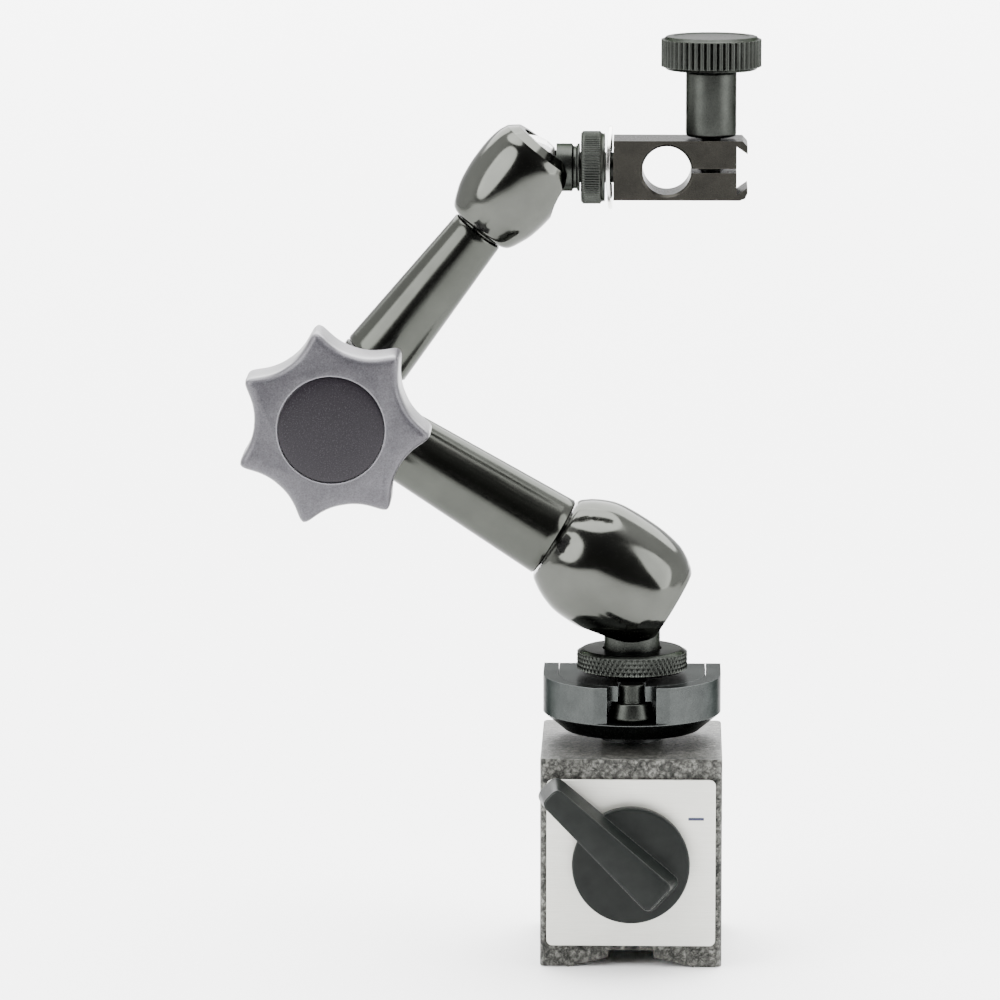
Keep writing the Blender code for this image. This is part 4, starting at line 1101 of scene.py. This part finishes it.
def make_clamp_block(oxide):
    """Slotted block with the stem bore, a dovetail groove at its end and the screw's hole."""
    high, end = BLOCK_HALF_HIGH, BLOCK_END
    outline = [(BLOCK_START, -high), (end - 1.3, -high), (end - 0.4, -high + 0.35), (end, -high + 1.2),
               (end, -DOVETAIL_MOUTH), (DOVETAIL_FLOOR, -DOVETAIL_INNER), (DOVETAIL_FLOOR, DOVETAIL_INNER),
               (end, DOVETAIL_MOUTH), (end, high - 0.9), (end - 0.8, high), (BLOCK_START, high)]
    upright = Matrix.Rotation(math.radians(-90), 4, "X")
    far = 10.0
    deep = BLOCK_HALF_DEEP + 0.01
    wide = BORE_R + BORE_CHAMFER
    bore = turned([(0.0, -deep), (wide, -deep), (BORE_R, -deep + BORE_CHAMFER), (BORE_R, deep - BORE_CHAMFER),
                   (wide, deep), (0.0, deep)])
    keeper = Matrix.Translation((KEEPER_AT, 0.0, -KEEPER_DROP))
    screw = Matrix.Translation((SCREW_AT, 0.0, 0.0))
    cuts = [moved(bore, Matrix.Translation((BORE_AT, 0.0, 0.0))),
            box((BORE_AT, -SAW_CUT_HALF, -far), (DOVETAIL_FLOOR + 1.0, SAW_CUT_HALF, far)),
            moved(pin(SCREW_CLEARANCE_R, -far, far, 64), screw @ upright),
            along_x(pin(STUD_HOLE_R, BLOCK_START - 1.0, STUD_HOLE_END, 64)),
            moved(pin(KEEPER_R, -far, high - 0.8, 48), keeper @ upright)]
    block = carved(extruded(outline, -BLOCK_HALF_DEEP, BLOCK_HALF_DEEP), cuts=cuts)
    make_piece("clamp_jaws", block, front_frame(UPPER_BALL), oxide, "clamp",
               ("clamp_block",), 0.16, 28.0)


def make_thumb_screw(oxide):
    """Screw with a thread below, a plain shank and a straight-knurled head."""
    low = low_mm("clamp_thumb_screw")
    high = high_mm("clamp_thumb_screw")
    centre = (low + high) / 2.0
    head_r = (high.x - low.x) / 2.0
    head_low, top = SCREW_HEAD_LOW, high.z
    shank_low, shank_r, thread_r = SCREW_SHANK_LOW, SCREW_SHANK_R, SCREW_THREAD_R
    knurl_low, knurl_high = head_low + SCREW_LOW_EDGE, top - SCREW_HIGH_EDGE
    knurl = straight_knurl(head_r, SCREW_TEETH, SCREW_TOOTH_DEPTH, knurl_low, knurl_high)
    thread = []
    height = low.z + 0.4
    while height < shank_low - 0.8:
        thread += [(thread_r - SCREW_THREAD_DEPTH, height), (thread_r, height + SCREW_PITCH * 0.42),
                   (thread_r, height + SCREW_PITCH * 0.55)]
        height += SCREW_PITCH
    profile = [(0.0, low.z), (thread_r - 0.4, low.z)] + thread
    profile += [(thread_r - 0.3, shank_low)]
    profile += filleted([(thread_r, shank_low), (shank_r - 0.35, shank_low), (shank_r, shank_low + 0.35),
                         (shank_r, head_low - 0.5), (shank_r - 0.35, head_low - 0.2),
                         (shank_r - 0.35, head_low), (head_r - 0.9, head_low),
                         (head_r - 0.42, knurl_low - 0.02)], 0.25)
    profile += [(head_r, knurl_low + (knurl_high - knurl_low) * k / 8) for k in range(9)]
    profile += filleted([(head_r - 0.42, knurl_high + 0.02), (head_r - 0.75, top), (head_r - 2.0, top),
                         (head_r - 2.2, top - 0.12), (0.0, top - 0.12)], 0.25)
    place = Matrix.Translation(Vector((centre.x, centre.y, 0.0)) * MM)
    make_piece("knurled_screw", surface(knurl, profile, SCREW_TEETH * 10), place, oxide, "thumb_screw",
               ("clamp_thumb_screw",), sharp=60.0)


# ---------------------------------------------------------------- carried-over inner pieces

def dress_inner_nodes(finishes):
    """Inner CAD pieces keep their shape and get a finished material."""
    by_finish = {
        "steel": ["switch_shaft", "rotation_stop_pin", "adjuster_mounting_screw", "tilt_pivot_pin",
                  "lower_ball", "upper_ball", "lower_push_rod", "upper_push_rod", "locking_wedge",
                  "clamp_retaining_pin"],
        "brass": ["front_bearing_disc", "knob_insert"],
        "bronze": ["lower_ball_seat", "upper_ball_seat"],
        "magnet": ["magnet_rotor"],
        "rear": ["rear_bearing_disc"],
    }
    for finish, nodes in by_finish.items():
        for node in nodes:
            thing = frame["nodes"][node]
            thing.data.materials.clear()
            thing.data.materials.append(finishes[finish])


# ---------------------------------------------------------------- stage, light and camera

FLOOR_HALF = 6.0
FLOOR_TONE = 0.9
TENT_FACING = (0.0, -0.975, 0.22)
TENT_STOPS = [(0.0, 1.0), (0.22, 0.85), (0.48, 0.12), (1.0, 0.04)]
TENT_STRENGTH = 2.6
LIGHTS_MIDDLE = (-10.0, 0.0, 80.0)
CAMERA_PLACE = (5.5, -1100.0, 252.7)
CAMERA_PAN = -0.0250
CAMERA_TILT = 0.1598
CAMERA_SENSOR = 36.0
CAMERA_LENS = 241.7


def add_area_light(name, place, target, size, power, colour=(1.0, 1.0, 1.0)):
    data = bpy.data.lights.new(name, "AREA")
    data.shape = "ELLIPSE"
    data.size, data.size_y = size
    data.energy = power
    data.color = colour
    light = bpy.data.objects.new(name, data)
    bpy.context.scene.collection.objects.link(light)
    light.location = LAYOUT @ (Vector(place) * MM)
    aim = (LAYOUT @ (Vector(target) * MM)) - light.location
    light.rotation_euler = aim.to_track_quat("-Z", "Y").to_euler()
    return light


def make_stage():
    bm = bmesh.new()
    bmesh.ops.create_grid(bm, x_segments=8, y_segments=8, size=FLOOR_HALF)
    mesh = bpy.data.meshes.new("floor")
    bm.to_mesh(mesh)
    bm.free()
    floor = bpy.data.objects.new("floor", mesh)
    bpy.context.scene.collection.objects.link(floor)
    s = Shader("floor_pale", 0.7)
    s.set(Base_Color=(FLOOR_TONE, FLOOR_TONE, FLOOR_TONE, 1.0))
    mesh.materials.append(s.material)


def make_world():
    """Pale tent, bright all round but dark where the camera stands."""
    world = bpy.data.worlds.new("studio")
    bpy.context.scene.world = world
    world.use_nodes = True
    tree = world.node_tree
    background = tree.nodes["Background"]
    coords = tree.nodes.new("ShaderNodeTexCoord")
    facing = tree.nodes.new("ShaderNodeVectorMath")
    facing.operation = "DOT_PRODUCT"
    facing.inputs[1].default_value = TENT_FACING
    tree.links.new(coords.outputs["Generated"], facing.inputs[0])
    ramp = tree.nodes.new("ShaderNodeValToRGB")
    tree.links.new(facing.outputs["Value"], ramp.inputs["Fac"])
    while len(ramp.color_ramp.elements) < len(TENT_STOPS):
        ramp.color_ramp.elements.new(0.5)
    for element, (position, value) in zip(ramp.color_ramp.elements, TENT_STOPS):
        element.position = position
        element.color = (value, value, value, 1.0)
    tree.links.new(ramp.outputs["Color"], background.inputs["Color"])
    background.inputs["Strength"].default_value = TENT_STRENGTH


def make_lights():
    add_area_light("key_left", (-900.0, -650.0, 700.0), LIGHTS_MIDDLE, (1.0, 1.2), 30.0)
    add_area_light("fill_right", (1000.0, -450.0, 500.0), LIGHTS_MIDDLE, (0.8, 1.2), 18.0)
    add_area_light("top", (0.0, 100.0, 1200.0), LIGHTS_MIDDLE, (1.4, 1.2), 40.0)
    add_area_light("backdrop", (0.0, 2600.0, 1500.0), (0.0, 2600.0, 0.0), (4.6, 3.4), 420.0)


def make_camera():
    """Same place and field of view as the photograph's, worked out from the base and the arms."""
    place = LAYOUT @ (Vector(CAMERA_PLACE) * MM)
    pan, tilt = CAMERA_PAN, CAMERA_TILT
    forward = Vector((math.sin(pan) * math.cos(tilt), math.cos(pan) * math.cos(tilt), -math.sin(tilt)))
    data = bpy.data.cameras.new("camera")
    data.sensor_width = CAMERA_SENSOR
    data.lens = CAMERA_LENS
    data.clip_start = 0.05
    data.clip_end = 50.0
    camera = bpy.data.objects.new("camera", data)
    bpy.context.scene.collection.objects.link(camera)
    camera.location = place
    camera.rotation_euler = forward.to_track_quat("-Z", "Y").to_euler()
    bpy.context.scene.camera = camera


# ---------------------------------------------------------------- assembly

def main():
    make_camera()
    make_stage()
    make_world()
    make_lights()

    paint = hammertone()
    plate = brushed_plate()
    steel = plain_metal("bright_steel", (0.5, 0.5, 0.49), 0.3)
    body_oxide = black_oxide("adjuster_oxide", (0.040, 0.043, 0.042), None, 0.24, 0.34)
    turned_oxide = black_oxide("turned_oxide", (0.030, 0.032, 0.029), "Z", 0.24, 0.36)
    block_oxide = black_oxide("block_oxide", (0.025, 0.024, 0.021), None, 0.2, 0.32)
    bell_finish = polished_black("bell_nickel", (0.060, 0.062, 0.056), 0.1, 0.17)
    tube_finish = polished_black("tube_black", (0.044, 0.046, 0.041), 0.14, 0.24, (2.5, 2.5, 0.05))

    make_base(paint, steel)
    make_plate(plate, mark_ink())
    make_switch(black_plastic())
    make_adjuster_body(body_oxide)
    make_tilt_plate(body_oxide)
    make_pillar(turned_oxide)
    make_post(turned_oxide)
    make_wheel(turned_oxide)

    lower = chain_frame(LOWER_BALL, chain_angle(ELBOW, LOWER_BALL))
    upper = chain_frame(UPPER_BALL, chain_angle(ELBOW, UPPER_BALL))
    lower_length = (LOWER_BALL - ELBOW).length / MM
    upper_length = (UPPER_BALL - ELBOW).length / MM
    make_arm(LOWER_ARM, lower, lower_length, bell_finish, tube_finish, "lower_arm")
    make_arm(UPPER_ARM, upper, upper_length, bell_finish, tube_finish, "upper_arm")
    brass = plain_metal("brass", (0.6, 0.45, 0.2), 0.3, "Z")
    make_knob(silver_knob(), graphite_cap(), brass)
    make_elbow_bolt(steel)

    stud = chain_frame(UPPER_BALL, 0.0)
    make_stud(stud, turned_oxide)
    make_collar(stud, turned_oxide)
    make_spring_washer(stud, plain_metal("spring_bright", (0.72, 0.71, 0.68), 0.2))
    make_clamp_block(block_oxide)
    make_thumb_screw(turned_oxide)
    dress_inner_nodes({
        "steel": steel,
        "brass": brass,
        "bronze": plain_metal("bronze", (0.45, 0.3, 0.16), 0.35),
        "magnet": plain_metal("magnet_alloy", (0.12, 0.12, 0.13), 0.5),
        "rear": plate,
    })


main()
bpy.context.view_layer.update()
